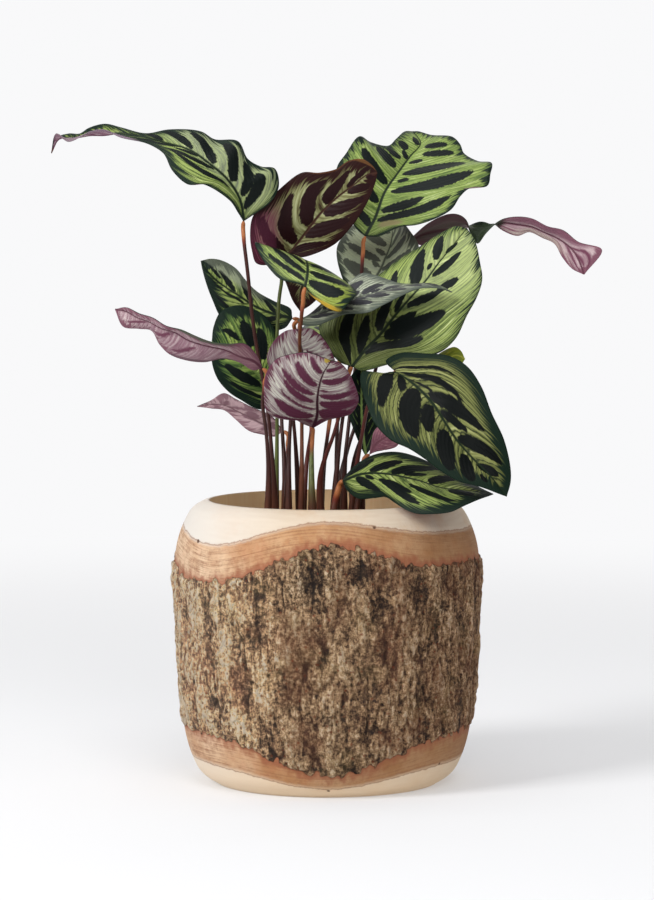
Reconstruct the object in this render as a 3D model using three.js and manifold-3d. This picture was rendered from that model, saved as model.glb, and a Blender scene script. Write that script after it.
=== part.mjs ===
// Potted calathea: a peacock-patterned calathea in a pot turned from a log with its bark on.
// Units are millimetres. +Z is up, -Y is the front, and the origin is the centre of the pot's base.
import * as THREE from 'three';
import { mergeVertices } from 'three/addons/utils/BufferGeometryUtils.js';
import Module from 'manifold-3d';

const wasm = await Module();
wasm.setup();

// ---------------------------------------------------------------- driving dimensions

// The pot takes a 12 cm nursery plant, so its opening is a little wider than that.
const POT_HEIGHT = 146.7;
const BASE_RADIUS = 58;
const BELLY_RADIUS = 80;
const RIM_RADIUS = 61.2;
const WALL_DRAFT = 1.2; // the bore narrows by this much from the rim to its floor
const FLOOR_THICKNESS = 30;
const POT_SEGMENTS = 100;
const POT_OUTER_ROWS = 24;

// Bark stands proud of the turned wood and is furrowed upright.
const BARK_PROUD = 0.9;
const FURROW_DEPTH = 1.3;
const RELIEF_INSET = 4; // the relief stays this far off the bore

// Heights of the zone edges on the pot's side. Each edge is a level plus bumps at some azimuths.
// A bump is [azimuth in degrees from the front, height, sharpness].
const BARK_TOP = { level: 117.5, bumps: [[2, 13, 24], [-54, -9, 14], [152, -7, 8], [-128, 5, 10]] };
const BARK_BOTTOM = { level: 31, bumps: [[2, -18, 14], [168, -11, 9]] };

const SOIL_TOP = 123;
const SOIL_MOUND = 2.5; // the soil stands this much higher in the middle than at the wall
const SOIL_SEGMENTS = 40;
const GAP = 0.3;

const ROOT_Z = 104; // the stems reach this far down into the soil
const SHEATH_TOP = 45; // the sheath round a stem's foot has thinned away this far up
const PETIOLE_RADIUS = 1.15;
const PULVINUS_RADIUS = 1.5; // the knuckle below the blade
const PULVINUS_LENGTH = 15;
const STEM_END_RADIUS = 0.8;
const STEM_SIDES = 6;
const STEM_RING_SPACING = 15;
const STEM_APPROACH = 5; // this far before the blade the stalk still lies below the blade's plane
const STEM_UNDER = 2.5; // and this far below it
const STEM_END_GAP = 0.6;
const HOLE_CLEARANCE = 0.4;

const BLADE_THICKNESS = 0.75;
const MIDRIB_RIDGE = 0.5;
const BASE_HALF_WIDTH = 1.1;
const TIP_HALF_WIDTH = 0.4;
const VEIN_SWEEP = 0.45; // how strongly the side veins run forward on their way to the margin
const SWEEP_POWER = 0.8; // how gently that begins at the blade's base
const VEIN_BOW = 0.1; // how far it bows back on its way, as a share of its own length
const BOW_START = 0.3; // before this share of the midrib the veins bow and arch less
const BLADE_ROWS = 12;
const ROW_CROWDING = 0.6; // how much closer the rows stand towards the blade's two ends
const BLADE_COLUMNS = 6;

// ---------------------------------------------------------------- the leaves

// Every point is [x, y, z].
// rib: along the midrib, from the blade's base to its tip
// left, right: along the two margins, as seen on the upper face when looking towards the tip
// stem: the stalk, from above the soil to below the blade; foot: [x, y, radius] at the soil
// arch: how far each half rises between midrib and margin, as a share of its width
// curled: how many points before the tip belong to a narrow curled end. There the points of rib,
// left and right are pairs.
// under: how far below the blade's plane the stalk comes in, where it isn't the usual distance
// rows: how many rows of faces the blade has, where it isn't the usual number
const LEAVES = [
  {
    name: '01', // upper left, with a long curled end
    rib: [
      [-43, -5, 291], [-45, -8, 302], [-51, -11, 312], [-60, -12, 320], [-70, -12, 327],
      [-83, -10, 331], [-94, -8, 334], [-106, -4, 336], [-115, 0, 335], [-122, 2, 335], [-129, 4, 334],
      [-134, 6, 334], [-139, 8, 333], [-143, 10, 326],
    ],
    left: [
      [-46, -9, 296], [-50, -14, 302], [-63, -20, 310], [-71, -22, 310], [-79, -20, 317],
      [-84, -15, 326], [-93, -10, 331], [-106, -8, 334], [-115, -4, 338], [-122, -2, 337],
      [-128, 0, 334], [-134, 3, 332], [-140, 5, 336],
    ],
    right: [
      [-37, -3, 295], [-29, 0, 301], [-25, 3, 309], [-27, 2, 318], [-34, 1, 319], [-41, 0, 323],
      [-46, -1, 332], [-58, -3, 333], [-65, -4, 337], [-81, -7, 338], [-93, -6, 336], [-106, -1, 339],
      [-115, 4, 341], [-123, 6, 339], [-128, 7, 336], [-134, 9, 336], [-140, 11, 334],
    ],
    stem: [
      [-28, -8, 163], [-30, -8, 189], [-33, -7, 209], [-36, -6, 224], [-39, -5, 245], [-41, -5, 266],
      [-43, -5, 281],
    ],
    foot: [-26, -6, 2.3], arch: 0.1, curled: 7, rows: 20,
  },
  {
    name: '02', // upper middle, showing its dark underside
    rib: [
      [-20, 14, 274], [-11, 11, 285], [-4, 8, 294], [4, 5, 302], [13, 2, 309], [21, 0, 315],
      [26, 0, 316],
    ],
    left: [
      [-14, 12, 272], [-6, 9, 274], [4, 6, 279], [11, 3, 286], [17, 1, 294], [22, 0, 303],
      [25, 0, 311],
    ],
    right: [
      [-26, 19, 271], [-32, 18, 268], [-37, 17, 269], [-39, 15, 275], [-40, 13, 283], [-39, 11, 292],
      [-36, 10, 297], [-30, 8, 302], [-24, 7, 308], [-13, 5, 316], [-4, 3, 316], [5, 2, 318],
      [11, 1, 322], [18, 0, 323], [23, 0, 320],
    ],
    stem: [[-26, 4, 177], [-26, 4, 198], [-26, 4, 231], [-24, 10, 259], [-22, 10, 267]],
    foot: [-27, 4, 2.1], arch: -0.06, under: 3.5,
  },
  {
    name: '03', // small leaf that arches away over its crest, in front of 02
    rib: [
      [-11, -36, 258], [-10, -30, 263], [-10, -20, 268], [-11, -10, 271], [-11, -2, 269],
      [-12, 4, 261], [-14, 8, 252], [-14, 9, 244],
    ],
    left: [
      [-15, -35, 260], [-24, -29, 262], [-31, -23, 269], [-35, -18, 275], [-37, -13, 280],
      [-33, -4, 278], [-27, 3, 272], [-21, 7, 258], [-18, 8, 250],
    ],
    right: [
      [-7, -40, 253], [2, -44, 247], [7, -43, 246], [12, -36, 251], [15, -26, 254], [13, -14, 257],
      [7, -6, 259], [-1, 4, 254], [-9, 8, 247],
    ],
    stem: [
      [-13, -12, 162], [-13, -8, 186], [-13, -13, 204], [-13, -19, 215], [-14, -24, 225],
      [-14, -29, 236], [-12, -36, 249],
    ],
    foot: [-13.5, -12, 2], arch: 0.05, under: 5,
  },
  {
    name: '04', // the broad one at the top right, leaning back
    rib: [
      [20, 14, 283], [25, 20, 292], [30, 30, 305], [37, 42, 315], [44, 56, 324], [50, 68, 331],
      [46, 80, 338],
    ],
    left: [
      [16, 16, 286], [11, 18, 294], [6, 22, 307], [5, 28, 318], [10, 36, 326], [17, 44, 335],
      [23, 50, 332], [32, 56, 330], [37, 66, 334], [42, 76, 338],
    ],
    right: [
      [27, 13, 283], [38, 14, 288], [47, 14, 289], [56, 15, 292], [65, 19, 297], [70, 24, 304],
      [75, 28, 308], [84, 31, 309], [86, 38, 315], [87, 46, 321], [80, 54, 322], [73, 60, 326],
      [71, 66, 331], [67, 70, 335], [56, 76, 336], [49, 80, 338],
    ],
    stem: [[5, -6, 162], [8, -2, 188], [13, 8, 224], [16, 14, 245], [18, 13, 264], [19, 13, 273]],
    foot: [3, -9, 2.5], arch: 0.06,
  },
  {
    name: '05', // below and behind 04
    rib: [[18, 22, 252], [27, 28, 263], [31, 36, 271], [34, 44, 278], [35, 56, 287], [33, 68, 294]],
    left: [[12, 20, 254], [7, 24, 264], [5, 32, 275], [8, 42, 282], [14, 52, 288], [23, 62, 293]],
    right: [
      [30, 17, 251], [40, 18, 259], [47, 20, 269], [48, 26, 278], [44, 36, 285], [40, 48, 290],
      [36, 60, 294],
    ],
    stem: [[9, 4, 162], [11, 8, 182], [14, 18, 208], [17, 22, 234]],
    foot: [9, 3, 2.3], arch: 0.06,
  },
  {
    name: '06', // the large one at the right
    rib: [
      [13, -6, 216], [20, -8, 225], [27, -8, 232], [35, -6, 242], [42, -4, 250], [51, -2, 260],
      [57, 2, 268], [63, 7, 275], [73, 14, 287],
    ],
    left: [
      [7, -4, 218], [-1, 0, 227], [-4, 4, 237], [1, 6, 247], [9, 7, 255], [27, 8, 263], [36, 9, 270],
      [49, 11, 278], [60, 13, 285], [67, 14, 288],
    ],
    right: [
      [18, -9, 214], [30, -12, 217], [45, -16, 221], [58, -18, 224], [66, -18, 231], [72, -16, 243],
      [77, -13, 252], [80, -8, 261], [79, -2, 270], [77, 5, 280],
    ],
    stem: [[-3, -1, 164], [1, -2, 173], [6, -4, 189], [10, -5, 206]],
    foot: [-3, 1, 2.6], arch: 0.07,
  },
  {
    name: '07', // lies nearly level across 06
    rib: [[-15, -8, 240], [-1, -14, 245], [13, -17, 251], [32, -19, 256], [50, -20, 259], [64, -24, 255]],
    left: [
      [-9, -8, 243], [-1, -5, 250], [10, -3, 258], [18, -3, 264], [25, -4, 263], [38, -10, 259],
      [50, -14, 259], [58, -18, 258],
    ],
    right: [
      [-13, -14, 238], [-5, -20, 238], [2, -25, 241], [9, -28, 244], [21, -31, 245], [29, -31, 249],
      [37, -30, 253], [47, -27, 257], [58, -25, 257],
    ],
    stem: [[-8, 8, 161], [-8, 20, 181], [-10, 18, 197], [-12, 8, 216], [-15, 0, 230]],
    foot: [-8, 6, 2.2], arch: 0.06,
  },
  {
    name: '08', // left, above 09
    rib: [
      [-18, 18, 240], [-30, 20, 243], [-39, 21, 247], [-45, 21, 251], [-53, 21, 256], [-61, 20, 263],
      [-66, 20, 270],
    ],
    left: [
      [-22, 18, 235], [-34, 19, 233], [-46, 20, 235], [-55, 19, 240], [-60, 18, 250], [-63, 18, 258],
      [-65, 19, 265],
    ],
    right: [
      [-19, 19, 245], [-28, 22, 249], [-37, 24, 254], [-43, 25, 260], [-48, 25, 266], [-55, 24, 270],
      [-61, 22, 271],
    ],
    stem: [[-20, -4, 164], [-19, 8, 187], [-18, 13, 203], [-16, 17, 224]],
    foot: [-20.5, -8, 2.9], arch: 0.06,
  },
  {
    name: '09', // the dark round one at the left
    rib: [[-27, 14, 202], [-34, 12, 209], [-43, 10, 218], [-52, 10, 224], [-60, 12, 228]],
    left: [[-31, 13, 194], [-36, 10, 193], [-45, 8, 198], [-51, 7, 202], [-57, 8, 209], [-60, 10, 218]],
    right: [
      [-23, 14, 206], [-23, 12, 221], [-27, 12, 234], [-33, 13, 242], [-45, 14, 247], [-55, 13, 244],
      [-59, 13, 236],
    ],
    stem: [[-22, 3, 162], [-23, 8, 177], [-24, 13, 191]],
    foot: [-21, 3, 2.4], arch: 0.08,
  },
  {
    name: '10', // left, purple side out, with a long curled end
    rib: [
      [-33, -20, 216], [-38, -23, 220], [-44, -24, 222], [-52, -26, 226], [-61, -27, 228],
      [-71, -26, 231], [-78, -25, 235], [-85, -23, 237], [-91, -21, 240], [-97, -18, 242],
      [-103, -15, 245], [-109, -12, 246],
    ],
    left: [
      [-36, -25, 223], [-42, -31, 229], [-50, -33, 229], [-59, -33, 230], [-67, -32, 233],
      [-74, -31, 236], [-82, -29, 238], [-89, -26, 242], [-96, -22, 244], [-103, -17, 247],
    ],
    right: [
      [-38, -19, 215], [-45, -18, 219], [-53, -18, 221], [-63, -16, 219], [-73, -14, 220],
      [-81, -14, 223], [-86, -14, 228], [-90, -15, 235], [-97, -12, 236], [-105, -9, 237],
    ],
    stem: [[-30, -14, 163], [-31, -15, 179], [-32, -16, 190], [-34, -18, 203]],
    foot: [-31, -14, 2.3], arch: -0.08, curled: 10, rows: 16,
  },
  {
    name: '11', // middle, purple side out, behind 12
    rib: [[-8, 12, 193], [-10, 2, 206], [-12, -10, 221], [-14, -16, 230], [-15, -18, 236]],
    left: [[-1, 11, 197], [5, 0, 209], [4, -12, 220], [-1, -15, 230], [-8, -17, 236]],
    right: [[-15, 9, 198], [-26, -1, 209], [-31, -10, 221], [-27, -14, 230], [-21, -17, 235]],
    stem: [[-11, -2, 162], [-9, 8, 177]],
    foot: [-13, -3, 2.1], arch: -0.06,
  },
  {
    name: '12', // front middle, purple side out, reaching forward
    rib: [[-7, -14, 185], [-5, -24, 193], [-5, -34, 200], [-4, -44, 208], [-2, -53, 215], [2, -62, 222]],
    left: [
      [0, -16, 189], [7, -20, 191], [12, -26, 193], [16, -34, 200], [14, -44, 209], [10, -54, 217],
      [6, -60, 221],
    ],
    right: [
      [-12, -15, 187], [-19, -20, 191], [-26, -26, 191], [-31, -32, 195], [-32, -40, 205],
      [-31, -48, 214], [-26, -54, 222], [-18, -58, 225], [-10, -62, 226], [-3, -63, 224],
    ],
    stem: [[-8, -19, 158], [-8, -13, 171]],
    foot: [-7, -20, 2.6], arch: -0.08,
  },
  {
    name: '13', // low at the left, purple side out
    rib: [[-23, 19, 181], [-34, 20, 185], [-46, 20, 191], [-55, 18, 195], [-68, 17, 194]],
    left: [[-29, 15, 189], [-40, 15, 194], [-48, 16, 198], [-54, 16, 201], [-61, 16, 197]],
    right: [
      [-27, 21, 178], [-34, 22, 179], [-41, 22, 181], [-48, 21, 187], [-54, 20, 192], [-61, 18, 193],
    ],
    stem: [[-22, 12, 156], [-21, 16, 169]],
    foot: [-22, 12, 2.2], arch: -0.06,
  },
  {
    name: '14', // the large one at the lower right
    rib: [
      [35, -34, 215], [45, -44, 208], [53, -51, 200], [59, -57, 191], [65, -62, 182], [72, -65, 174],
      [82, -68, 164], [90, -68, 154],
    ],
    left: [
      [30, -30, 220], [37, -29, 224], [51, -34, 224], [62, -38, 223], [71, -43, 218], [78, -49, 208],
      [83, -54, 195], [89, -58, 182], [92, -62, 169], [92, -66, 161],
    ],
    right: [
      [27, -36, 214], [18, -38, 215], [17, -43, 209], [20, -50, 199], [24, -56, 190], [32, -62, 182],
      [41, -66, 178], [49, -69, 173], [57, -71, 167], [66, -72, 162], [77, -71, 159], [85, -70, 156],
    ],
    stem: [[16, -8, 170], [18, -9, 179], [20, -11, 193], [24, -15, 205], [29, -22, 214]],
    foot: [12, -7, 2.4], arch: 0.07, under: 7,
  },
  {
    name: '15', // lowest at the right, out over the rim
    rib: [
      [8, -22, 158], [17, -30, 162], [27, -37, 163], [37, -43, 162], [47, -48, 160], [57, -52, 157],
      [67, -54, 156], [84, -54, 154],
    ],
    left: [
      [10, -20, 161], [16, -21, 167], [23, -22, 171], [31, -24, 173], [38, -27, 173], [46, -31, 171],
      [58, -37, 166], [69, -43, 161], [77, -49, 157],
    ],
    right: [
      [10, -26, 154], [16, -34, 150], [24, -42, 151], [30, -48, 152], [34, -54, 150], [39, -60, 147],
      [45, -63, 145], [53, -65, 145], [62, -65, 146], [69, -63, 149], [77, -59, 152],
    ],
    stem: [[4, -19, 148]],
    foot: [2, -19, 2.1], arch: 0.06,
  },
  {
    name: '16', // far right, twisted, with a long curled end
    rib: [
      [43, 46, 280], [52, 44, 284], [63, 41, 286], [70, 38, 287], [74, 36, 288], [78, 34, 286],
      [81, 33, 286], [85, 32, 287], [88, 31, 289], [93, 28, 290], [100, 26, 289], [107, 24, 288],
      [114, 22, 285], [122, 19, 281], [128, 16, 276], [131, 14, 271], [134, 13, 263],
    ],
    left: [
      [53, 43, 277], [63, 41, 279], [70, 42, 282], [74, 42, 287], [80, 39, 290], [83, 37, 290],
      [86, 35, 289], [88, 34, 289], [92, 31, 286], [100, 28, 283], [106, 27, 285], [113, 25, 282],
      [119, 22, 279], [123, 19, 272], [128, 16, 266],
    ],
    right: [
      [53, 41, 289], [63, 38, 294], [69, 32, 294], [73, 28, 291], [76, 28, 283], [79, 29, 279],
      [83, 28, 284], [88, 28, 289], [93, 25, 292], [100, 22, 293], [107, 20, 292], [115, 17, 288],
      [123, 15, 286], [131, 13, 280], [143, 11, 276],
    ],
    stem: [[7, 14, 156], [12, 18, 176], [24, 26, 207], [34, 36, 249], [39, 44, 269]],
    foot: [3, 12, 2.3], arch: -0.06, curled: 15, rows: 26,
  },
  {
    name: '17', // young and yellowish, behind 06 and 14
    rib: [[38, 8, 202], [48, 10, 209], [59, 11, 217], [67, 12, 221], [72, 12, 219]],
    left: [[44, 14, 210], [55, 16, 219], [63, 16, 224], [67, 15, 225], [70, 13, 223]],
    right: [[44, 6, 202], [55, 7, 207], [63, 8, 212], [69, 10, 215]],
    stem: [[13, 8, 161], [20, 16, 182], [30, 13, 195]],
    foot: [15, 3, 2.1], arch: 0.05, rows: 10,
  },
  {
    name: '18', // dark, behind the stems at the right
    rib: [[20, 2, 169], [19, 4, 177], [18, 8, 190], [18, 10, 206], [18, 10, 216]],
    left: [[17, 3, 175], [12, 7, 188], [10, 9, 200], [13, 10, 211]],
    right: [[24, 3, 175], [27, 8, 187], [27, 10, 200], [22, 10, 211]],
    stem: [[19, -1, 161]],
    foot: [18, -5, 2], arch: 0.05, rows: 10,
  },
  {
    name: '19', // small, half rolled, with a pink back, behind 14
    rib: [[22, -12, 171], [26, -16, 177], [31, -20, 181], [36, -22, 185]],
    left: [[26, -16, 173], [31, -18, 174], [36, -20, 176], [38, -22, 181]],
    right: [[23, -12, 177], [25, -14, 184], [30, -18, 187]],
    stem: [[18, -13, 160]],
    foot: [13, -14, 1.8], arch: -0.1, rows: 8,
  },
  {
    name: '20', // back right
    rib: [[7, 30, 222], [11, 52, 234], [16, 78, 241], [20, 102, 238]],
    left: [[-5, 34, 221], [-13, 55, 230], [-11, 80, 234], [3, 98, 236]],
    right: [[18, 33, 223], [32, 52, 230], [36, 76, 234], [30, 95, 236]],
    stem: [[5, 20, 166], [6, 24, 197]],
    foot: [7, 19, 2.3], arch: 0.06, rows: 11,
  },
  {
    name: '21', // back left
    rib: [[-22, 26, 207], [-30, 46, 218], [-38, 68, 224], [-47, 88, 222]],
    left: [[-32, 27, 205], [-48, 44, 210], [-57, 68, 214], [-57, 84, 219]],
    right: [[-13, 33, 208], [-14, 58, 214], [-24, 80, 218], [-37, 91, 221]],
    stem: [[-16, 20, 166], [-18, 22, 190]],
    foot: [-14, 18, 2.3], arch: 0.06, rows: 11,
  },
  {
    name: '22', // back middle
    rib: [[2, 30, 190], [6, 54, 198], [10, 80, 200], [13, 102, 192]],
    left: [[-8, 34, 188], [-15, 56, 192], [-11, 80, 194], [2, 98, 192]],
    right: [[13, 34, 190], [27, 54, 194], [33, 78, 195], [27, 97, 192]],
    stem: [[-2, 23, 160]],
    foot: [-4, 20, 2.3], arch: 0.06, rows: 11,
  },
];

const COLOURS = {
  pot: 0x8b7358,
  soil: 0x3a2c22,
  stem: 0x5a2f2a,
  bladeGreen: 0x6f8f45,
  bladePurple: 0x8a5a72,
};
// These leaves turn their purple undersides to the front.
const PURPLE_SIDE_OUT = new Set(['02', '10', '11', '12', '13', '16', '19']);

// ---------------------------------------------------------------- small helpers

const { lerp, smoothstep, degToRad } = THREE.MathUtils;

function vector([x, y, z]) {
  return new THREE.Vector3(x, y, z);
}

function geometryFrom(positions, indices) {
  const geometry = new THREE.BufferGeometry();
  geometry.setAttribute('position', new THREE.Float32BufferAttribute(positions, 3));
  geometry.setIndex(indices);
  return geometry;
}

// A closed geometry with its seams merged, holding positions only.
function welded(geometry) {
  for (const name of ['normal', 'uv']) {
    geometry.deleteAttribute(name);
  }
  return mergeVertices(geometry, 1e-4);
}

function toSolid(geometry) {
  const merged = welded(geometry.clone());
  return new wasm.Manifold(
    new wasm.Mesh({
      numProp: 3,
      vertProperties: new Float32Array(merged.attributes.position.array),
      triVerts: new Uint32Array(merged.index.array),
    }),
  );
}

function fromSolid(solid) {
  const mesh = solid.getMesh();
  return geometryFrom(Array.from(mesh.vertProperties), Array.from(mesh.triVerts));
}

function namedMesh(name, geometry, colour, roughness) {
  const material = new THREE.MeshStandardMaterial({ color: colour, roughness, metalness: 0 });
  geometry.computeVertexNormals();
  const mesh = new THREE.Mesh(geometry, material);
  mesh.name = name;
  return mesh;
}

// ---------------------------------------------------------------- pot

function zoneEdge({ level, bumps }, azimuth) {
  let height = level;
  for (const [centre, rise, sharpness] of bumps) {
    const near = 0.5 + 0.5 * Math.cos(azimuth - degToRad(centre));
    height += rise * near ** sharpness;
  }
  return height;
}

// How far the bark stands out at an azimuth and a height: upright furrows that wander with height.
function barkRelief(azimuth, z) {
  const top = zoneEdge(BARK_TOP, azimuth);
  const bottom = zoneEdge(BARK_BOTTOM, azimuth);
  const inside = smoothstep(z, bottom - 2, bottom + 3) * (1 - smoothstep(z, top - 3, top + 2));
  const wander = 0.5 * Math.sin(3 * azimuth + z * 0.045) + 0.35 * Math.sin(z * 0.11 + 1.3);
  const wide = Math.sin(17 * azimuth + 3 * wander);
  const narrow = Math.sin(29 * azimuth - 2.5 * wander + z * 0.06);
  const broken = Math.sin(9 * azimuth + z * 0.19) * Math.sin(z * 0.13 - 5 * azimuth);
  return inside * (BARK_PROUD + FURROW_DEPTH * (0.4 * wide + 0.35 * narrow + 0.25 * broken));
}

// The turned side from the base to the rim, without the bark's relief: [radius, height].
function potOuterProfile() {
  return new THREE.SplineCurve([
    new THREE.Vector2(BASE_RADIUS, 0),
    new THREE.Vector2(68, 8.6),
    new THREE.Vector2(75.1, 33),
    new THREE.Vector2(78, 82),
    new THREE.Vector2(BELLY_RADIUS - BARK_PROUD, 112),
    new THREE.Vector2(77.3, 127),
    new THREE.Vector2(71.6, 140.4),
    new THREE.Vector2(65.4, 145.5),
    new THREE.Vector2(RIM_RADIUS, POT_HEIGHT),
  ]);
}

function boreRadius(z) {
  return RIM_RADIUS - WALL_DRAFT * ((POT_HEIGHT - z) / (POT_HEIGHT - FLOOR_THICKNESS));
}

function potGeometry() {
  const profile = [new THREE.Vector2(0, 0), ...potOuterProfile().getSpacedPoints(POT_OUTER_ROWS)];
  profile.push(new THREE.Vector2(boreRadius(FLOOR_THICKNESS), FLOOR_THICKNESS));
  profile.push(new THREE.Vector2(0, FLOOR_THICKNESS));
  const geometry = welded(new THREE.LatheGeometry(profile, POT_SEGMENTS));
  const position = geometry.attributes.position;
  // The lathe turns about +Y: stand it up on +Z, then push its side out by the relief.
  for (let i = 0; i < position.count; i += 1) {
    const x = position.getX(i);
    const y = -position.getZ(i);
    const z = position.getY(i);
    const radius = Math.hypot(x, y);
    const onSide = radius > boreRadius(z) + RELIEF_INSET;
    const azimuth = Math.atan2(x, -y);
    const scale = onSide ? 1 + barkRelief(azimuth, z) / radius : 1;
    position.setXYZ(i, x * scale, y * scale, z);
  }
  return geometry;
}

// ---------------------------------------------------------------- stems

function splineThrough(points) {
  return new THREE.CatmullRomCurve3(points, false, 'centripetal');
}

// A round rod with closed ends, bent along a curve; its radius is a function of the ring's place.
function rod(curve, radiusAt, sides, rings, dip) {
  const geometry = new THREE.CylinderGeometry(1, 1, 1, sides, rings);
  const frames = curve.computeFrenetFrames(rings, false);
  const points = curve.getSpacedPoints(rings);
  const position = geometry.attributes.position;
  for (let i = 0; i < position.count; i += 1) {
    const ring = Math.round((position.getY(i) + 0.5) * rings);
    const radius = radiusAt(ring / rings);
    const place = points[ring].clone();
    place.z -= ring === 0 ? dip : 0;
    place.addScaledVector(frames.binormals[ring], position.getX(i) * radius);
    place.addScaledVector(frames.normals[ring], position.getZ(i) * radius);
    position.setXYZ(i, place.x, place.y, place.z);
  }
  return welded(geometry);
}

// The stalk rises from its root, runs through its points and meets the blade from behind.
function stemCurve(leaf) {
  const base = vector(leaf.rib[0]);
  const along = vector(leaf.rib[1]).sub(base).normalize();
  const across = vector(leaf.right[0]).sub(vector(leaf.left[0]));
  const upper = across.cross(along).normalize();
  const [x, y] = leaf.foot;
  return splineThrough([
    new THREE.Vector3(x, y, ROOT_Z),
    new THREE.Vector3(x, y, SOIL_TOP + 3),
    ...leaf.stem.map(vector),
    base
      .clone()
      .addScaledVector(along, -STEM_APPROACH)
      .addScaledVector(upper, -(leaf.under ?? STEM_UNDER)),
    base.clone().addScaledVector(along, -STEM_END_GAP).addScaledVector(upper, -STEM_END_GAP),
  ]);
}

// The stalk with a sheath at its foot and a swollen knuckle below the blade. A hole for it in the
// soil is the same rod, wider by the clearance and with its lowest ring dipped.
function stemGeometry(leaf, clearance, dip) {
  const curve = stemCurve(leaf);
  const length = curve.getLength();
  const footRadius = leaf.foot[2];
  const buried = SOIL_TOP - ROOT_Z;
  const radiusAt = (place) => {
    const upTo = place * length;
    const sheath = 1 - smoothstep(upTo, buried, buried + SHEATH_TOP);
    const knuckle = smoothstep(upTo, length - PULVINUS_LENGTH, length - 0.5 * PULVINUS_LENGTH);
    const stalk = lerp(PETIOLE_RADIUS, PULVINUS_RADIUS, knuckle);
    const full = clearance + Math.max(stalk, lerp(stalk, footRadius, sheath));
    return place < 1 ? full : STEM_END_RADIUS;
  };
  const rings = Math.ceil(length / STEM_RING_SPACING);
  return rod(curve, radiusAt, STEM_SIDES, rings, dip);
}

// ---------------------------------------------------------------- soil

function soilGeometry() {
  const radius = boreRadius(SOIL_TOP) - GAP;
  const profile = [new THREE.Vector2(0, FLOOR_THICKNESS + GAP)];
  profile.push(new THREE.Vector2(boreRadius(FLOOR_THICKNESS) - GAP, FLOOR_THICKNESS + GAP));
  for (const share of [1, 0.85, 0.6, 0.3]) {
    profile.push(new THREE.Vector2(radius * share, SOIL_TOP - SOIL_MOUND * share * share));
  }
  profile.push(new THREE.Vector2(0, SOIL_TOP));
  const geometry = new THREE.LatheGeometry(profile, SOIL_SEGMENTS);
  geometry.rotateX(Math.PI / 2);
  let soil = toSolid(geometry);
  for (const leaf of LEAVES) {
    soil = soil.subtract(toSolid(stemGeometry(leaf, HOLE_CLEARANCE, GAP)));
  }
  return fromSolid(soil);
}

// ---------------------------------------------------------------- blades

// The midrib and the two margins as curves. A margin starts and ends beside the midrib's ends.
function bladeCurves(leaf) {
  const [base, tip] = [vector(leaf.rib[0]), vector(leaf.rib.at(-1))];
  const beside = (end, next, distance) => end.clone().add(next.clone().sub(end).setLength(distance));
  const margin = (list) => {
    const points = list.map(vector);
    const start = beside(base, points[0], BASE_HALF_WIDTH);
    return splineThrough([start, ...points, beside(tip, points.at(-1), TIP_HALF_WIDTH)]);
  };
  return {
    rib: splineThrough(leaf.rib.map(vector)),
    left: margin(leaf.left),
    right: margin(leaf.right),
  };
}

// The share of a curve's length that lies before a place counted in points back from its end.
function shareBefore(curve, fromEnd) {
  const lengths = curve.getLengths();
  const place = 1 - fromEnd / (curve.points.length - 1);
  return lengths[Math.round(place * (lengths.length - 1))] / lengths.at(-1);
}

// Where a row ends on a margin. In the blade a row is a side vein, which sweeps forward by a share
// of the margin's length. In a curled end the points of midrib and margins are pairs, and a row
// joins like places between them.
function rowEnd(leaf, curves, margin, row) {
  const curled = leaf.curled ?? 0;
  const bladeShare = shareBefore(curves.rib, curled);
  if (row < bladeShare) {
    const inBlade = row / bladeShare;
    const forward = VEIN_SWEEP * (1 - inBlade) * inBlade ** SWEEP_POWER;
    return margin.getPointAt(shareBefore(margin, curled) * (inBlade + forward));
  }
  const fromEnd = (1 - curves.rib.getUtoTmapping(row)) * (leaf.rib.length - 1);
  return margin.getPoint(1 - fromEnd / (margin.points.length - 1));
}

// The points of one row of the blade's middle surface, from the left margin to the right one, and
// the direction that its upper face looks.
function bladeRow(leaf, curves, row) {
  const start = curves.rib.getPointAt(row);
  const tangent = curves.rib.getTangentAt(row);
  const left = rowEnd(leaf, curves, curves.left, row);
  const right = rowEnd(leaf, curves, curves.right, row);
  const upper = right.clone().sub(left).cross(tangent).normalize();
  const begun = 4 * smoothstep(row, 0, BOW_START);
  const points = [];
  for (let j = 0; j <= BLADE_COLUMNS; j += 1) {
    const across = (2 * j) / BLADE_COLUMNS - 1;
    const end = across < 0 ? left : right;
    const reach = Math.abs(across);
    const bow = begun * start.distanceTo(end) * reach * (1 - reach);
    const point = start.clone().lerp(end, reach);
    point.addScaledVector(tangent, -VEIN_BOW * bow);
    points.push(point.addScaledVector(upper, leaf.arch * bow));
  }
  return { points, upper };
}

// Two like grids of points, one for each face, closed round the edge. Each cell is split from the
// margin's side of its first row to the midrib's side of the next, alike on both faces.
function slab(upper, lower, rows, columns) {
  const positions = [];
  for (const point of [...upper, ...lower]) {
    positions.push(point.x, point.y, point.z);
  }
  const indices = [];
  const stride = columns + 1;
  const below = (rows + 1) * stride;
  for (let i = 0; i < rows; i += 1) {
    for (let j = 0; j < columns; j += 1) {
      const a = i * stride + j;
      const [b, c, d] = [a + 1, a + stride, a + stride + 1];
      const cell = j < columns / 2 ? [a, b, d, a, d, c] : [a, b, c, b, d, c];
      indices.push(...cell, ...cell.map((corner) => below + corner).reverse());
    }
  }
  const rim = [];
  for (let j = 0; j < columns; j += 1) rim.push(j);
  for (let i = 0; i < rows; i += 1) rim.push(i * stride + columns);
  for (let j = columns; j > 0; j -= 1) rim.push(rows * stride + j);
  for (let i = rows; i > 0; i -= 1) rim.push(i * stride);
  rim.forEach((a, k) => {
    const b = rim[(k + 1) % rim.length];
    indices.push(a, below + a, below + b, a, below + b, b);
  });
  return geometryFrom(positions, indices);
}

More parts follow.
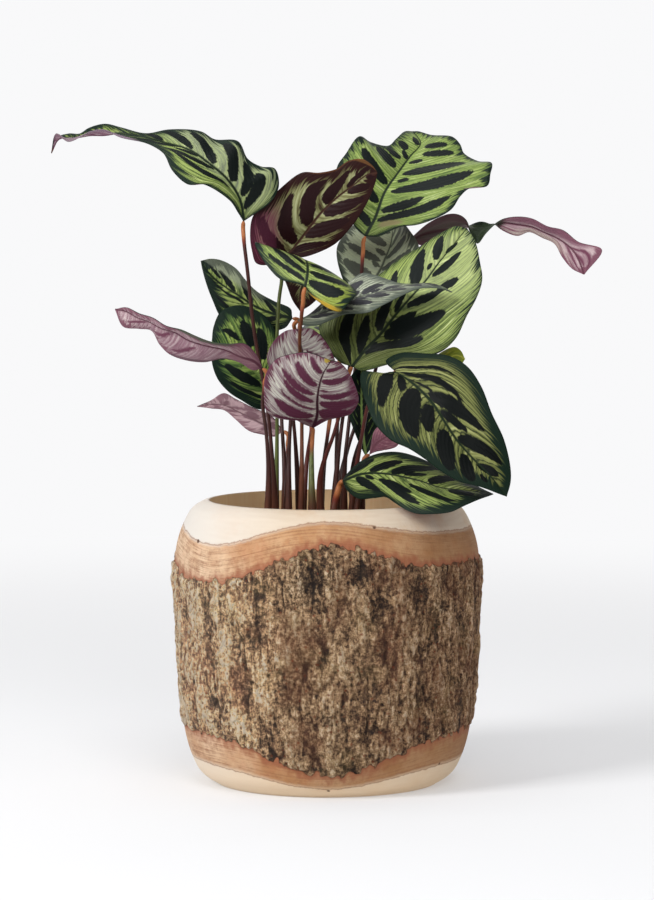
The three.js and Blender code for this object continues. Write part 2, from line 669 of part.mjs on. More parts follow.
function bladeGeometry(leaf) {
  const curves = bladeCurves(leaf);
  const rows = leaf.rows ?? BLADE_ROWS;
  const top = [];
  const bottom = [];
  for (let i = 0; i <= rows; i += 1) {
    const even = i / rows;
    const row = lerp(even, 0.5 - 0.5 * Math.cos(Math.PI * even), ROW_CROWDING);
    const { points, upper } = bladeRow(leaf, curves, row);
    points.forEach((point, j) => {
      const ridge = 2 * j === BLADE_COLUMNS ? MIDRIB_RIDGE * (1 - row) : 0;
      top.push(point.clone().addScaledVector(upper, 0.5 * BLADE_THICKNESS));
      bottom.push(point.addScaledVector(upper, -0.5 * BLADE_THICKNESS - ridge));
    });
  }
  return slab(top, bottom, rows, BLADE_COLUMNS);
}

// ---------------------------------------------------------------- assembly

const plant = new THREE.Group();
plant.add(namedMesh('pot', potGeometry(), COLOURS.pot, 0.75));
plant.add(namedMesh('soil', soilGeometry(), COLOURS.soil, 0.95));
for (const leaf of LEAVES) {
  const colour = PURPLE_SIDE_OUT.has(leaf.name) ? COLOURS.bladePurple : COLOURS.bladeGreen;
  plant.add(namedMesh(`leaf_${leaf.name}_blade`, bladeGeometry(leaf), colour, 0.45));
  plant.add(namedMesh(`leaf_${leaf.name}_stem`, stemGeometry(leaf, 0, 0), COLOURS.stem, 0.5));
}

export default plant;
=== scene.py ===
"""Potted calathea: the finer pieces, the finishes and the stage.

Lengths in the tables are millimetres, in the frame of the model: +Z is up and -Y is the front.
"""

import math

import bpy
import numpy as np
from bpy.props import FloatProperty, FloatVectorProperty, PointerProperty
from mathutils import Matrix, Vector, noise


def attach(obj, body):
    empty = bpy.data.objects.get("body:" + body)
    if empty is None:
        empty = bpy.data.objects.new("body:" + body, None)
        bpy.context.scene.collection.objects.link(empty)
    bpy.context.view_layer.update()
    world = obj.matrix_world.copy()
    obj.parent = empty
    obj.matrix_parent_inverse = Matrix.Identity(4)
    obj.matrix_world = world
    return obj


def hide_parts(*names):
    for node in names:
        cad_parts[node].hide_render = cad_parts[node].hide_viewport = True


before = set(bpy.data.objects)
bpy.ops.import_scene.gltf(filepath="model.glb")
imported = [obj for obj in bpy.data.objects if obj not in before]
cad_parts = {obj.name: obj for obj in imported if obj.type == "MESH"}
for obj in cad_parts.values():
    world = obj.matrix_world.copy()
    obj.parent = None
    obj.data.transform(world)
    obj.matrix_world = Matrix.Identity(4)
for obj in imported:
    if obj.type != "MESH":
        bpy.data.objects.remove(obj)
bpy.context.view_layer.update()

MM = 0.001

bl_info = {
    "name": "Potted calathea",
    "version": (1, 0, 0),
    "blender": (4, 5, 0),
    "location": "View3D > Sidebar > Calathea",
    "description": "A peacock-patterned calathea in a pot turned from a log with its bark on",
    "category": "Add Mesh",
}


# ---------------------------------------------------------------- colours


def linear(code, alpha=1.0):
    """The linear colour of an sRGB hex code such as "#EFE3D0"."""
    shares = [int(code[i : i + 2], 16) / 255 for i in (1, 3, 5)]
    return (*(c / 12.92 if c <= 0.04045 else ((c + 0.055) / 1.055) ** 2.4 for c in shares), alpha)


def colour_setting(name, description, code):
    """A colour that a user may change, with its default as a hex code."""
    return FloatVectorProperty(
        name=name, description=description, subtype="COLOR", size=4, min=0, max=1,
        default=linear(code),
    )


def length_setting(name, description, millimetres):
    """A length that a user may change."""
    return FloatProperty(
        name=name, description=description, subtype="DISTANCE", unit="LENGTH",
        default=millimetres * MM, min=0, precision=5,
    )


# ---------------------------------------------------------------- settings


class CALATHEA_PG_pot(bpy.types.PropertyGroup):
    """Sizes and finishes of the log pot and its soil."""

    height: length_setting("Height", "From the base to the rim", 146.7)
    rim_radius: length_setting("Opening radius", "Half the width of the opening", 61.2)
    wall_draft: length_setting("Draft", "How much the bore narrows down to its floor", 1.2)
    floor: length_setting("Floor", "Thickness of the wood below the soil", 30)
    bark_proud: length_setting("Bark", "How far the bark stands out from the turned wood", 0.9)
    furrow_depth: length_setting("Furrows", "Depth of the wide furrows of the bark", 1.6)
    soil_top: length_setting("Soil level", "Height of the soil in the middle", 123)
    sapwood: colour_setting("Sapwood", "The turned wood above and below the bark", "#C4B099")
    inner_bark: colour_setting("Inner bark", "The band between bark and sapwood", "#AC784C")
    soil: colour_setting("Soil", "The potting soil", "#3A2C22")


class CALATHEA_PG_leaves(bpy.types.PropertyGroup):
    """Sizes and finishes of the leaves."""

    thickness: length_setting("Blade thickness", "Thickness of a blade", 0.5)
    vein_spacing: length_setting("Vein spacing", "Distance between two fine side veins", 1.9)
    stalk_radius: length_setting("Stalk radius", "Half the thickness of a stalk", 0.96)
    knuckle_radius: length_setting("Knuckle radius", "Half the thickness below the blade", 1.1)
    ground: colour_setting("Upper side", "The ground of the upper side", "#7E8F4C")
    blotch: colour_setting("Blotches", "The dark blotches of the upper side", "#0D1412")
    margin: colour_setting("Margin", "The dark band along the margin", "#14231A")
    purple: colour_setting("Underside", "The purple of the underside", "#6E4058")
    stalk: colour_setting("Stalk", "The dark part of a stalk", "#4C221B")
    knuckle: colour_setting("Knuckle", "The top of a stalk, below the blade", "#A5643A")


class CALATHEA_PG_stage(bpy.types.PropertyGroup):
    """The floor, the lights and the camera."""

    paper: colour_setting("Paper", "The plain floor and backdrop", "#C1C1C2")
    glow: FloatProperty(name="Glow", description="How much light comes through the paper",
                        default=0.32, min=0)
    camera_distance: length_setting("Camera distance", "In front of the pot's middle", 1917)
    camera_height: length_setting("Camera height", "Above the floor", 315)
    lens: FloatProperty(name="Lens", description="Focal length on a 36 mm sensor",
                        default=148.1, min=10)
    tilt: FloatProperty(name="Tilt", description="How far the camera looks down",
                        subtype="ANGLE", default=math.radians(4.255))


# ---------------------------------------------------------------- small helpers


def smoothstep(x, low, high):
    """0 below low, 1 above high, and smooth between them."""
    t = np.clip((x - low) / (high - low), 0, 1)
    return t * t * (3 - 2 * t)


def unit(v):
    """Vectors along the last axis at length 1."""
    return v / np.linalg.norm(v, axis=-1, keepdims=True)


def fresh(operation, name, **settings):
    """Add a primitive with nothing else selected, and return its object."""
    bpy.ops.object.select_all(action="DESELECT")
    operation(**settings)
    piece = bpy.context.object
    piece.name = piece.data.name = name
    return piece


def positions(piece):
    """The vertices of a piece as an array, in the piece's own units."""
    out = np.zeros(len(piece.data.vertices) * 3)
    piece.data.vertices.foreach_get("co", out)
    return out.reshape(-1, 3)


def place(piece, points):
    """Move the vertices of a piece to points in millimetres."""
    piece.data.vertices.foreach_set("co", (np.asarray(points) * MM).ravel())
    piece.data.update()


def field(piece, name, values):
    """Keep one number for each vertex, which a finish can read."""
    attribute = piece.data.attributes.new(name, "FLOAT", "POINT")
    attribute.data.foreach_set("value", np.ascontiguousarray(values, np.float32).ravel())


def paint(piece, name, colours):
    """Keep one colour and its strength for each vertex, which a finish can read."""
    attribute = piece.data.attributes.new(name, "FLOAT_COLOR", "POINT")
    attribute.data.foreach_set("color", np.ascontiguousarray(colours, np.float32).ravel())


def finish_piece(piece, nodes, finishes, angle=None):
    """Shade a piece, give it its finishes, and set it in the model in place of CAD nodes."""
    bpy.ops.object.select_all(action="DESELECT")
    piece.select_set(True)
    bpy.context.view_layer.objects.active = piece
    if angle is None:
        bpy.ops.object.shade_smooth()
    else:
        bpy.ops.object.shade_smooth_by_angle(angle=math.radians(angle))
    for material in finishes:
        piece.data.materials.append(material)
    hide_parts(*nodes)
    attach(piece, "root")


def feed(target, feeds):
    """Set or link inputs of a node, by name or number: to a node, a socket, a code or a value."""
    for socket, source in feeds.items():
        if isinstance(source, bpy.types.Node):
            source = next(output for output in source.outputs if output.enabled)
        if isinstance(source, bpy.types.NodeSocket):
            target.id_data.links.new(source, target.inputs[socket])
        else:
            value = linear(source) if isinstance(source, str) else source
            target.inputs[socket].default_value = value


def node(tree, kind, feeds=None, **settings):
    """Add a shader node with its settings, and feed its inputs."""
    new = tree.nodes.new("ShaderNode" + kind)
    for name, value in settings.items():
        setattr(new, name, value)
    feed(new, feeds or {})
    return new


def finish(name):
    """A new material with its shader, ready for its colour: (material, tree, shader)."""
    material = bpy.data.materials.new(name)
    material.use_nodes = True
    tree = material.node_tree
    return material, tree, tree.nodes["Principled BSDF"]


# ---------------------------------------------------------------- pot


def zone_edge(level, bumps, azimuth):
    """Height of a zone's edge at an azimuth: a level plus bumps (degrees, height, sharpness)."""
    height = np.full_like(azimuth, level)
    for centre, rise, sharpness in bumps:
        height += rise * (0.5 + 0.5 * np.cos(azimuth - math.radians(centre))) ** sharpness
    return height


BARK_TOP = (117.5, [(2, 13, 24), (-54, -9, 14), (152, -7, 8), (-128, 5, 10)])
BARK_BOTTOM = (31, [(2, -18, 14), (168, -11, 9)])
CREAM_TOP = (134, [(0, 7.5, 14), (-48, -6.5, 22), (160, -4, 8), (-125, 3, 8)])
CREAM_BOTTOM = (14.5, [(0, -9, 12), (170, -5, 8)])

# The turned side from the base to the rim: [radius, height].
SIDE = [(58, 0), (68, 8.6), (75.1, 33), (78, 82), (79.1, 112), (77.3, 127), (71.6, 140.4),
        (65.4, 145.5), (61.2, 146.7)]
SIDE_POINTS = 156
SPIN_STEPS = 560
RIM_WIDTH = 4


def spline_2d(points, count):
    """Evenly spaced points on a smooth curve through points."""
    p = np.array(points, float)
    p = np.vstack([p[0], p, p[-1]])
    t = np.linspace(0, len(points) - 1, 2000)
    at = np.minimum(t.astype(int), len(points) - 2)
    w = (t - at)[:, None]
    a, b, c, d = p[at], p[at + 1], p[at + 2], p[at + 3]
    v0, v1 = (c - a) / 2, (d - b) / 2
    curve = b + w * (v0 + w * (-3 * b + 3 * c - 2 * v0 - v1 + w * (2 * b - 2 * c + v0 + v1)))
    lengths = np.concatenate([[0], np.cumsum(np.linalg.norm(np.diff(curve, axis=0), axis=1))])
    wanted = np.linspace(0, lengths[-1], count)
    return np.column_stack([np.interp(wanted, lengths, curve[:, k]) for k in (0, 1)])


def turned(name, profile, steps):
    """A round closed body, spun about the upright axis from a profile of (radius, height)."""
    piece = fresh(bpy.ops.mesh.primitive_plane_add, name, size=MM)
    bpy.ops.object.mode_set(mode="EDIT")
    bpy.ops.mesh.select_mode(type="VERT")
    bpy.ops.mesh.select_all(action="SELECT")
    bpy.ops.mesh.merge(type="CENTER")
    here = Vector((0, 0, 0))
    for k, (radius, height) in enumerate(profile):
        there = Vector((radius, 0, height)) * MM
        if k == 0:
            bpy.ops.transform.translate(value=there - here)
        else:
            bpy.ops.mesh.extrude_vertices_move(TRANSFORM_OT_translate={"value": there - here})
        here = there
    bpy.ops.mesh.select_all(action="SELECT")
    bpy.ops.mesh.spin(steps=steps, angle=2 * math.pi, center=(0, 0, 0), axis=(0, 0, 1))
    bpy.ops.mesh.select_all(action="SELECT")
    bpy.ops.mesh.remove_doubles(threshold=0.01 * MM)
    bpy.ops.mesh.normals_make_consistent(inside=False)
    bpy.ops.object.mode_set(mode="OBJECT")
    return piece


def bark_relief(azimuth, z, pot):
    """How far the bark stands out: upright furrows that wander with height."""
    wander = 0.5 * np.sin(3 * azimuth + z * 0.045) + 0.35 * np.sin(z * 0.11 + 1.3)
    wide = np.sin(17 * azimuth + 3 * wander)
    narrow = np.sin(29 * azimuth - 2.5 * wander + z * 0.06)
    broken = np.sin(9 * azimuth + z * 0.19) * np.sin(z * 0.13 - 5 * azimuth)
    depth = pot.furrow_depth / MM
    return pot.bark_proud / MM + depth * (0.35 * wide + 0.2 * narrow + 0.15 * broken)


def bore_radius(z, pot):
    """Radius of the hollow at a height."""
    height, floor = pot.height / MM, pot.floor / MM
    return pot.rim_radius / MM - pot.wall_draft / MM * (height - z) / (height - floor)


def scaly(points, width, height):
    """Noise between -1 and 1 with features of a width round the pot and a height up it."""
    squeeze = Vector((1 / width, 1 / width, 1 / height))
    return np.array([noise.noise(Vector(p) * squeeze) for p in points])


class CALATHEA_OT_pot(bpy.types.Operator):
    """Turn the log pot and raise its bark"""

    bl_idname = "calathea.pot"
    bl_label = "Pot"

    def execute(self, context):
        pot = context.scene.calathea_pot
        floor = pot.floor / MM
        rim = spline_2d(SIDE, SIDE_POINTS)
        top = pot.height / MM
        bore = [(bore_radius(z, pot), z) for z in (top - 0.5, *np.linspace(top, floor, 11)[1:])]
        under = [(r, 0) for r in np.linspace(0, 58, 4)[:-1]]
        bottom = [(r, floor) for r in np.linspace(bore_radius(floor, pot), 0, 4)[1:]]
        piece = turned("log_pot", [*under, *rim, *bore, *bottom], SPIN_STEPS)
        co = positions(piece) / MM
        x, y, z = co.T
        radius = np.hypot(x, y)
        azimuth = np.arctan2(x, -y)
        outside = radius > bore_radius(z, pot) + RIM_WIDTH
        bark_in = np.minimum(zone_edge(*BARK_TOP, azimuth) - z, z - zone_edge(*BARK_BOTTOM, azimuth))
        cream_in = np.maximum(z - zone_edge(*CREAM_TOP, azimuth),
                              zone_edge(*CREAM_BOTTOM, azimuth) - z)
        near = np.flatnonzero(outside & (bark_in > -6))
        torn, fine = bark_in.copy(), np.zeros(len(co))
        # The edge is torn in steps of 3.4 and 1.7 mm; the bark cracks into plates and flakes.
        torn[near] += 3.2 * scaly(co[near] + 20, 3.4, 5) + 2 * scaly(co[near] + 70, 1.7, 2.4)
        grown = np.where(outside, smoothstep(torn, -0.6, 1.2), 0)
        cracks = np.abs(scaly(co[near], 4.2, 15))
        plates = np.abs(scaly(co[near] + 90, 9, 7))
        flakes = scaly(co[near] + 50, 2.1, 3.6)
        fine[near] = (0.95 * smoothstep(cracks, 0.0, 0.28) + 0.35 * smoothstep(plates, 0, 0.15)
                      + 0.55 * flakes - 0.9)
        relief = bark_relief(azimuth, z, pot)
        rise = grown * np.maximum(relief + fine, -0.9)
        scale = np.where(radius > 0, 1 + rise / np.maximum(radius, 1), 1)
        place(piece, np.column_stack([x * scale, y * scale, z]))
        hollow = (radius < bore_radius(z, pot) + 0.4) & (z > floor - 1) & (z < top - 0.2)
        field(piece, "into_bark", np.where(outside, torn, -20))
        field(piece, "into_cream", np.where(outside, cream_in, 20))
        field(piece, "hollow", hollow.astype(float))
        field(piece, "relief", relief - pot.bark_proud / MM + fine)
        finish_piece(piece, ["pot"], [log_finish(pot)])
        return {"FINISHED"}


# ---------------------------------------------------------------- the leaves

# Each leaf: its midrib, left and right margin and stem as points in mm, with the place and radius of
# the foot, the arch of the blade, how far the stalk passes below it, how many points make a curled
# end, how far the veins run forward at left and right, a part of the margin that is not dark in mm,
# the finishes of both sides and of the stalk, its blotches in hundredths, and its coloured spots.
LEAVES = [
  {  # upper left, with a long curled end
    "name": "01", "foot": [-26, -6, 2.3], "arch": 0.1, "curled": 7, "sweep": (0.45, 0.2),
    "pale_margin": 1.5,
    "rib": [[-43, -5, 291], [-45, -8, 302], [-51, -11, 312], [-60, -12, 320], [-70, -12, 327],
      [-83, -10, 331], [-94, -8, 334], [-106, -4, 336], [-115, 0, 335], [-122, 2, 335], [-129, 4, 334],
      [-134, 6, 334], [-139, 8, 333], [-143, 10, 326]],
    "left": [[-46, -9, 296], [-50, -14, 302], [-63, -20, 310], [-71, -22, 310], [-79, -20, 317],
      [-84, -15, 326], [-93, -10, 331], [-106, -8, 334], [-115, -4, 338], [-122, -2, 337], [-128, 0, 334],
      [-134, 3, 332], [-140, 5, 336]],
    "right": [[-37, -3, 295], [-29, 0, 301], [-25, 3, 309], [-27, 2, 318], [-34, 1, 319], [-41, 0, 323],
      [-46, -1, 332], [-58, -3, 333], [-65, -4, 337], [-81, -7, 338], [-93, -6, 336], [-106, -1, 339],
      [-115, 4, 341], [-123, 6, 339], [-128, 7, 336], [-134, 9, 336], [-140, 11, 334]],
    "stem": [[-28, -8, 163], [-30, -8, 189], [-33, -7, 209], [-36, -6, 224], [-39, -5, 245], [-41, -5, 266],
      [-43, -5, 281]],
    "marks": [(16, -20, 42, -64, 4), (26, -5, 44, -60, 2.2), (34, -3, 42, -34, 2), (43, -3, 52, -50, 3),
      (52, -30, 60, -66, 3), (6, 8, 14, 74, 2.4), (11, 8, 19, 82, 1.8), (18, 8, 27, 84, 2.6),
      (28, 8, 38, 84, 2.6), (38, 10, 48, 90, 2.2), (50, 10, 55, 80, 2)],
    # The first spot, pale grey-green over the right half, is painted sheen.
    "tints": [(0.25, 0.5, 0.3, 0.9, "#AEB29C", 0.35), (1, 0, 0.03, 2, "#6A4030", 0.9),
      (0.9, -0.8, 0.1, 0.8, "#A48A96", 0.75), (0.72, -1, 0.2, 0.5, "#8E7888", 0.8)],
  },
  {  # upper middle, showing its dark underside
    "name": "02", "foot": [-27, 4, 2.1], "arch": -0.06, "under": 3.5, "sweep": (0.4, 0.5),
    "finish": ("green", "maroon"), "stalk": "green",
    "rib": [[-20, 14, 274], [-11, 11, 285], [-4, 8, 294], [4, 5, 302], [13, 2, 309], [21, 0, 315],
      [26, 0, 316]],
    "left": [[-14, 12, 272], [-6, 9, 274], [4, 6, 279], [11, 3, 286], [17, 1, 294], [22, 0, 303],
      [25, 0, 311]],
    "right": [[-26, 19, 271], [-32, 18, 268], [-37, 17, 269], [-39, 15, 275], [-40, 13, 283],
      [-39, 11, 292], [-36, 10, 297], [-30, 8, 302], [-24, 7, 308], [-13, 5, 316], [-4, 3, 316],
      [5, 2, 318], [11, 1, 322], [18, 0, 323], [23, 0, 320]],
    "stem": [[-26, 4, 177], [-26, 4, 198], [-26, 4, 231], [-24, 10, 259], [-22, 10, 267]],
    "marks": [(2, -5, 24, -80, 7), (24, -3, 47, -82, 8.5), (48, -3, 68, -82, 8.5), (74, -3, 83, -78, 5.5),
      (93, -3, 93, -70, 3), (8, 25, 26, 85, 4.5), (14, 6, 42, 76, 5), (33, 4, 61, 74, 7),
      (55, 3, 76, 66, 7.5), (76, 4, 84, 34, 5), (86, 10, 92, 70, 3)],
    "tints": [(0.16, 0.75, 0.24, 0.5, "#7E3656", 0.62), (0.92, 0.95, 0.14, 0.2, "#80592F", 0.7),
      (0.7, 1, 0.25, 0.1, "#6E4426", 0.7), (0.97, -0.4, 0.05, 0.6, "#7A4A2E", 0.55)],
  },
  {  # small leaf that arches away over its crest, in front of 02
    "name": "03", "foot": [-13.5, -12, 2], "arch": 0.05, "under": 5, "sweep": (0.4, 0.3), "pale_margin": 1,
    "finish": ("green", "maroon"), "stalk": "orange",
    "rib": [[-11, -36, 258], [-10, -30, 263], [-10, -20, 268], [-11, -10, 271], [-11, -2, 269],
      [-12, 4, 261], [-14, 8, 252], [-14, 9, 244]],
    "left": [[-15, -35, 260], [-24, -29, 262], [-31, -23, 269], [-35, -18, 275], [-37, -13, 280],
      [-33, -4, 278], [-27, 3, 272], [-21, 7, 258], [-18, 8, 250]],
    "right": [[-7, -40, 253], [2, -44, 247], [7, -43, 246], [12, -36, 251], [15, -26, 254], [13, -14, 257],
      [7, -6, 259], [-1, 4, 254], [-9, 8, 247]],
    "stem": [[-13, -12, 162], [-13, -8, 186], [-13, -13, 204], [-13, -19, 215], [-14, -24, 225],
      [-14, -29, 236], [-12, -36, 249]],
    "marks": [(8, -10, 26, -80, 3), (18, -5, 40, -85, 3.5), (32, -5, 50, -80, 3.5), (46, -5, 58, -80, 3),
      (58, -5, 62, -70, 4), (70, -10, 74, -70, 3), (10, 10, 24, 80, 5), (22, 6, 36, 80, 3.5),
      (36, 5, 50, 80, 3.5), (50, 5, 60, 80, 3.5), (62, 10, 70, 70, 4)],
    "tints": [(0.2, 0.85, 0.18, 0.45, "#8C982E", 0.45), (0.08, 1, 0.1, 0.28, "#C0982C", 0.8)],
  },
  {  # the broad one at the top right, leaning back
    "name": "04", "foot": [3, -9, 2.5], "arch": 0.06, "sweep": (0.05, 0.2), "pale_margin": 2,
    "rib": [[20, 14, 283], [25, 20, 292], [30, 30, 305], [37, 42, 315], [44, 56, 324], [50, 68, 331],
      [46, 80, 338]],
    "left": [[16, 16, 286], [11, 18, 294], [6, 22, 307], [5, 28, 318], [10, 36, 326], [17, 44, 335],
      [23, 50, 332], [32, 56, 330], [37, 66, 334], [42, 76, 338]],
    "right": [[27, 13, 283], [38, 14, 288], [47, 14, 289], [56, 15, 292], [65, 19, 297], [70, 24, 304],
      [75, 28, 308], [84, 31, 309], [86, 38, 315], [87, 46, 321], [80, 54, 322], [73, 60, 326],
      [71, 66, 331], [67, 70, 335], [56, 76, 336], [49, 80, 338]],
    "stem": [[5, -6, 162], [8, -2, 188], [13, 8, 224], [16, 14, 245], [18, 13, 264], [19, 13, 273]],
    "marks": [(8, -5, 14, -80, 3), (24, -5, 30, -78, 3.5), (38, -5, 42, -78, 3), (53, -14, 56, -88, 3.6),
      (62, -24, 62, -90, 2), (66, -5, 70, -42, 2), (74, -30, 76, -82, 3), (84, -6, 87, -45, 3),
      (12, 8, 26, 86, 3), (19, 6, 27, 52, 2.7), (33, 8, 44, 82, 3.4), (42, 7, 43, 18, 1.4),
      (49, 8, 55, 82, 3.8), (61, 8, 62, 30, 1.6), (68, 28, 65, 84, 2.2), (76, 28, 72, 78, 2.2)],
    "tints": [(0.1, 0.4, 0.05, 0.3, "#A07A6C", 0.6), (0.5, 0, 0.8, 1.6, "#6E8A3E", 0.3)],
  },
  {  # below and behind 04
    "name": "05", "foot": [9, 3, 2.3], "arch": 0.06, "sweep": (0.1, 0.3), "pale_margin": 1,
    "rib": [[18, 22, 252], [27, 28, 263], [31, 36, 271], [34, 44, 278], [35, 56, 287], [33, 68, 294]],
    "left": [[12, 20, 254], [7, 24, 264], [5, 32, 275], [8, 42, 282], [14, 52, 288], [23, 62, 293]],
    "right": [[30, 17, 251], [40, 18, 259], [47, 20, 269], [48, 26, 278], [44, 36, 285], [40, 48, 290],
      [36, 60, 294]],
    "stem": [[9, 4, 162], [11, 8, 182], [14, 18, 208], [17, 22, 234]],
    "marks": [(18, -10, 22, -80, 5), (30, -6, 32, -20, 2), (36, -10, 38, -80, 3.5), (44, -5, 46, -25, 2),
      (54, -10, 58, -80, 4), (70, -10, 74, -70, 3.5), (28, 5, 36, 80, 3), (40, 5, 50, 80, 3),
      (53, 5, 64, 80, 3), (66, 5, 76, 75, 3), (80, 5, 86, 60, 2.5)],
    # The pale grey-green spot over the whole blade is painted sheen, lightening a leaf that lies in shade.
    "tints": [(0.5, 0, 1, 2, "#C4CCB4", 0.58)],
  },
  {  # the large one at the right
    "name": "06", "foot": [-3, 1, 2.6], "arch": 0.07, "sweep": (0.5, 0.55), "pale_margin": 3.5,
    "stalk": "red",
    "rib": [[13, -6, 216], [20, -8, 225], [27, -8, 232], [35, -6, 242], [42, -4, 250], [51, -2, 260],
      [57, 2, 268], [63, 7, 275], [73, 14, 287]],
    "left": [[7, -4, 218], [-1, 0, 227], [-4, 4, 237], [1, 6, 247], [9, 7, 255], [27, 8, 263], [36, 9, 270],
      [49, 11, 278], [60, 13, 285], [67, 14, 288]],
    "right": [[18, -9, 214], [30, -12, 217], [45, -16, 221], [58, -18, 224], [66, -18, 231], [72, -16, 243],
      [77, -13, 252], [80, -8, 261], [79, -2, 270], [77, 5, 280]],
    "stem": [[-3, -1, 164], [1, -2, 173], [6, -4, 189], [10, -5, 206]],
    "marks": [(3, -26, 28, -66, 7), (11, -5, 28, -36, 5), (27, -5, 42, -36, 4.5), (39, -3, 50, -24, 3),
      (46, -40, 52, -78, 2), (57, -10, 68, -84, 4.5), (68, -13, 68, -26, 1.8), (75, -15, 81, -84, 3.8),
      (12, 6, 30, 60, 5), (26, 6, 43, 70, 6.2), (16, 2, 17, 10, 1.8), (31, 3, 41, 30, 3.5),
      (45, 5, 55, 44, 3.5), (57, 35, 62, 62, 3), (66, 6, 79, 54, 4), (83, -12, 87, 22, 3.4)],
    # Both spots are painted light: the dark olive over the lower part is painted shadow of 07 above it, the
    # pale green over the upper part painted light.
    "tints": [(0.1, -0.2, 0.4, 1.4, "#38371F", 0.52), (0.75, 0.2, 0.4, 1.2, "#B2BB88", 0.35)],
  },
  {  # lies nearly level across 06
    # Its grey upper finish is painted sheen of the upper side seen glancing.
    "name": "07", "foot": [-8, 6, 2.2], "arch": 0.06, "sweep": (0.1, 0.2), "finish": ("grey", "purple"),
    "rib": [[-15, -8, 240], [-1, -14, 245], [13, -17, 251], [32, -19, 256], [50, -20, 259], [64, -24, 255]],
    "left": [[-9, -8, 243], [-1, -5, 250], [10, -3, 258], [18, -3, 264], [25, -4, 263], [38, -10, 259],
      [50, -14, 259], [58, -18, 258]],
    "right": [[-13, -14, 238], [-5, -20, 238], [2, -25, 241], [9, -28, 244], [21, -31, 245], [29, -31, 249],
      [37, -30, 253], [47, -27, 257], [58, -25, 257]],
    "stem": [[-8, 8, 161], [-8, 20, 181], [-10, 18, 197], [-12, 8, 216], [-15, 0, 230]],
    "tints": [(0.95, 0.8, 0.1, 0.8, "#2E3A28", 0.7)],
  },
  {  # left, above 09
    "name": "08", "foot": [-20.5, -8, 2.9], "arch": 0.06, "sweep": (0.5, 0.3),
    "rib": [[-18, 18, 240], [-30, 20, 243], [-39, 21, 247], [-45, 21, 251], [-53, 21, 256], [-61, 20, 263],
      [-66, 20, 270]],
    "left": [[-22, 18, 235], [-34, 19, 233], [-46, 20, 235], [-55, 19, 240], [-60, 18, 250], [-63, 18, 258],
      [-65, 19, 265]],
    "right": [[-19, 19, 245], [-28, 22, 249], [-37, 24, 254], [-43, 25, 260], [-48, 25, 266],
      [-55, 24, 270], [-61, 22, 271]],
    "stem": [[-20, -4, 164], [-19, 8, 187], [-18, 13, 203], [-16, 17, 224]],
    "marks": [(48, -12, 77, -44, 4.5), (74, -8, 90, -32, 3.5), (46, -60, 60, -78, 3), (12, -8, 30, -70, 5),
      (17, 10, 23, 74, 3), (41, 8, 50, 70, 4.8), (60, 8, 75, 54, 4.5), (77, 20, 86, 50, 3.5)],
    # The grey-green spot over the right half is painted sheen.
    "tints": [(0.6, 0.9, 0.6, 0.75, "#8E9480", 0.66)],
  },
  {  # the dark round one at the left
    "name": "09", "foot": [-21, 3, 2.4], "arch": 0.08, "sweep": (0.7, 0.2), "finish": ("deep", "purple"),
    "rib": [[-27, 14, 202], [-34, 12, 209], [-43, 10, 218], [-52, 10, 224], [-60, 12, 228]],
    "left": [[-31, 13, 194], [-36, 10, 193], [-45, 8, 198], [-51, 7, 202], [-57, 8, 209], [-60, 10, 218]],
    "right": [[-23, 14, 206], [-23, 12, 221], [-27, 12, 234], [-33, 13, 242], [-45, 14, 247],
      [-55, 13, 244], [-59, 13, 236]],
    "stem": [[-22, 3, 162], [-23, 8, 177], [-24, 13, 191]],
    "marks": [(28, -16, 62, -62, 12), (16, -50, 46, -78, 7), (38, 28, 42, 74, 5.5), (52, 34, 56, 74, 5),
      (64, 38, 76, 68, 3.5), (10, 10, 20, 80, 4), (72, -20, 84, -50, 4)],
  },
  {  # left, purple side out, with a long curled end
    "name": "10", "foot": [-31, -14, 2.3], "arch": -0.08, "curled": 10, "sweep": (0.2, 0.2),
    "finish": ("green", "pink"),
    "rib": [[-33, -20, 216], [-38, -23, 220], [-44, -24, 222], [-52, -26, 226], [-61, -27, 228],
      [-71, -26, 231], [-78, -25, 235], [-85, -23, 237], [-91, -21, 240], [-97, -18, 242], [-103, -15, 245],
      [-109, -12, 246]],
    "left": [[-36, -25, 223], [-42, -31, 229], [-50, -33, 229], [-59, -33, 230], [-67, -32, 233],
      [-74, -31, 236], [-82, -29, 238], [-89, -26, 242], [-96, -22, 244], [-103, -17, 247]],
    "right": [[-38, -19, 215], [-45, -18, 219], [-53, -18, 221], [-63, -16, 219], [-73, -14, 220],
      [-81, -14, 223], [-86, -14, 228], [-90, -15, 235], [-97, -12, 236], [-105, -9, 237]],
    "stem": [[-30, -14, 163], [-31, -15, 179], [-32, -16, 190], [-34, -18, 203]],
    "marks": [(78, 10, 90, 50, 1.6), (62, 10, 74, 60, 1.6), (46, 20, 58, 70, 1.4)],
    "tints": [(0.5, 0.3, 0.5, 0.8, "#85606E", 0.45), (0.4, 1, 0.3, 0.3, "#4A2A38", 0.7),
      (0.42, -1, 0.3, 0.4, "#3A4A36", 0.85), (0.1, 0, 0.2, 2, "#7A4452", 0.5)],
  },
  {  # middle, purple side out, behind 12
    "name": "11", "foot": [-13, -3, 2.1], "arch": -0.06, "sweep": (-0.4, 0.6),
    "finish": ("green", "magenta"), "stalk": "red",
    "rib": [[-8, 12, 193], [-10, 2, 206], [-12, -10, 221], [-14, -16, 230], [-15, -18, 236]],
    "left": [[-1, 11, 197], [5, 0, 209], [4, -12, 220], [-1, -15, 230], [-8, -17, 236]],
    "right": [[-15, 9, 198], [-26, -1, 209], [-31, -10, 221], [-27, -14, 230], [-21, -17, 235]],
    "stem": [[-11, -2, 162], [-9, 8, 177]],
    "marks": [(14, -26, 28, 2, 2), (27, -26, 60, 30, 4), (38, -56, 62, -36, 3.5), (10, -4, 46, 58, 5.5),
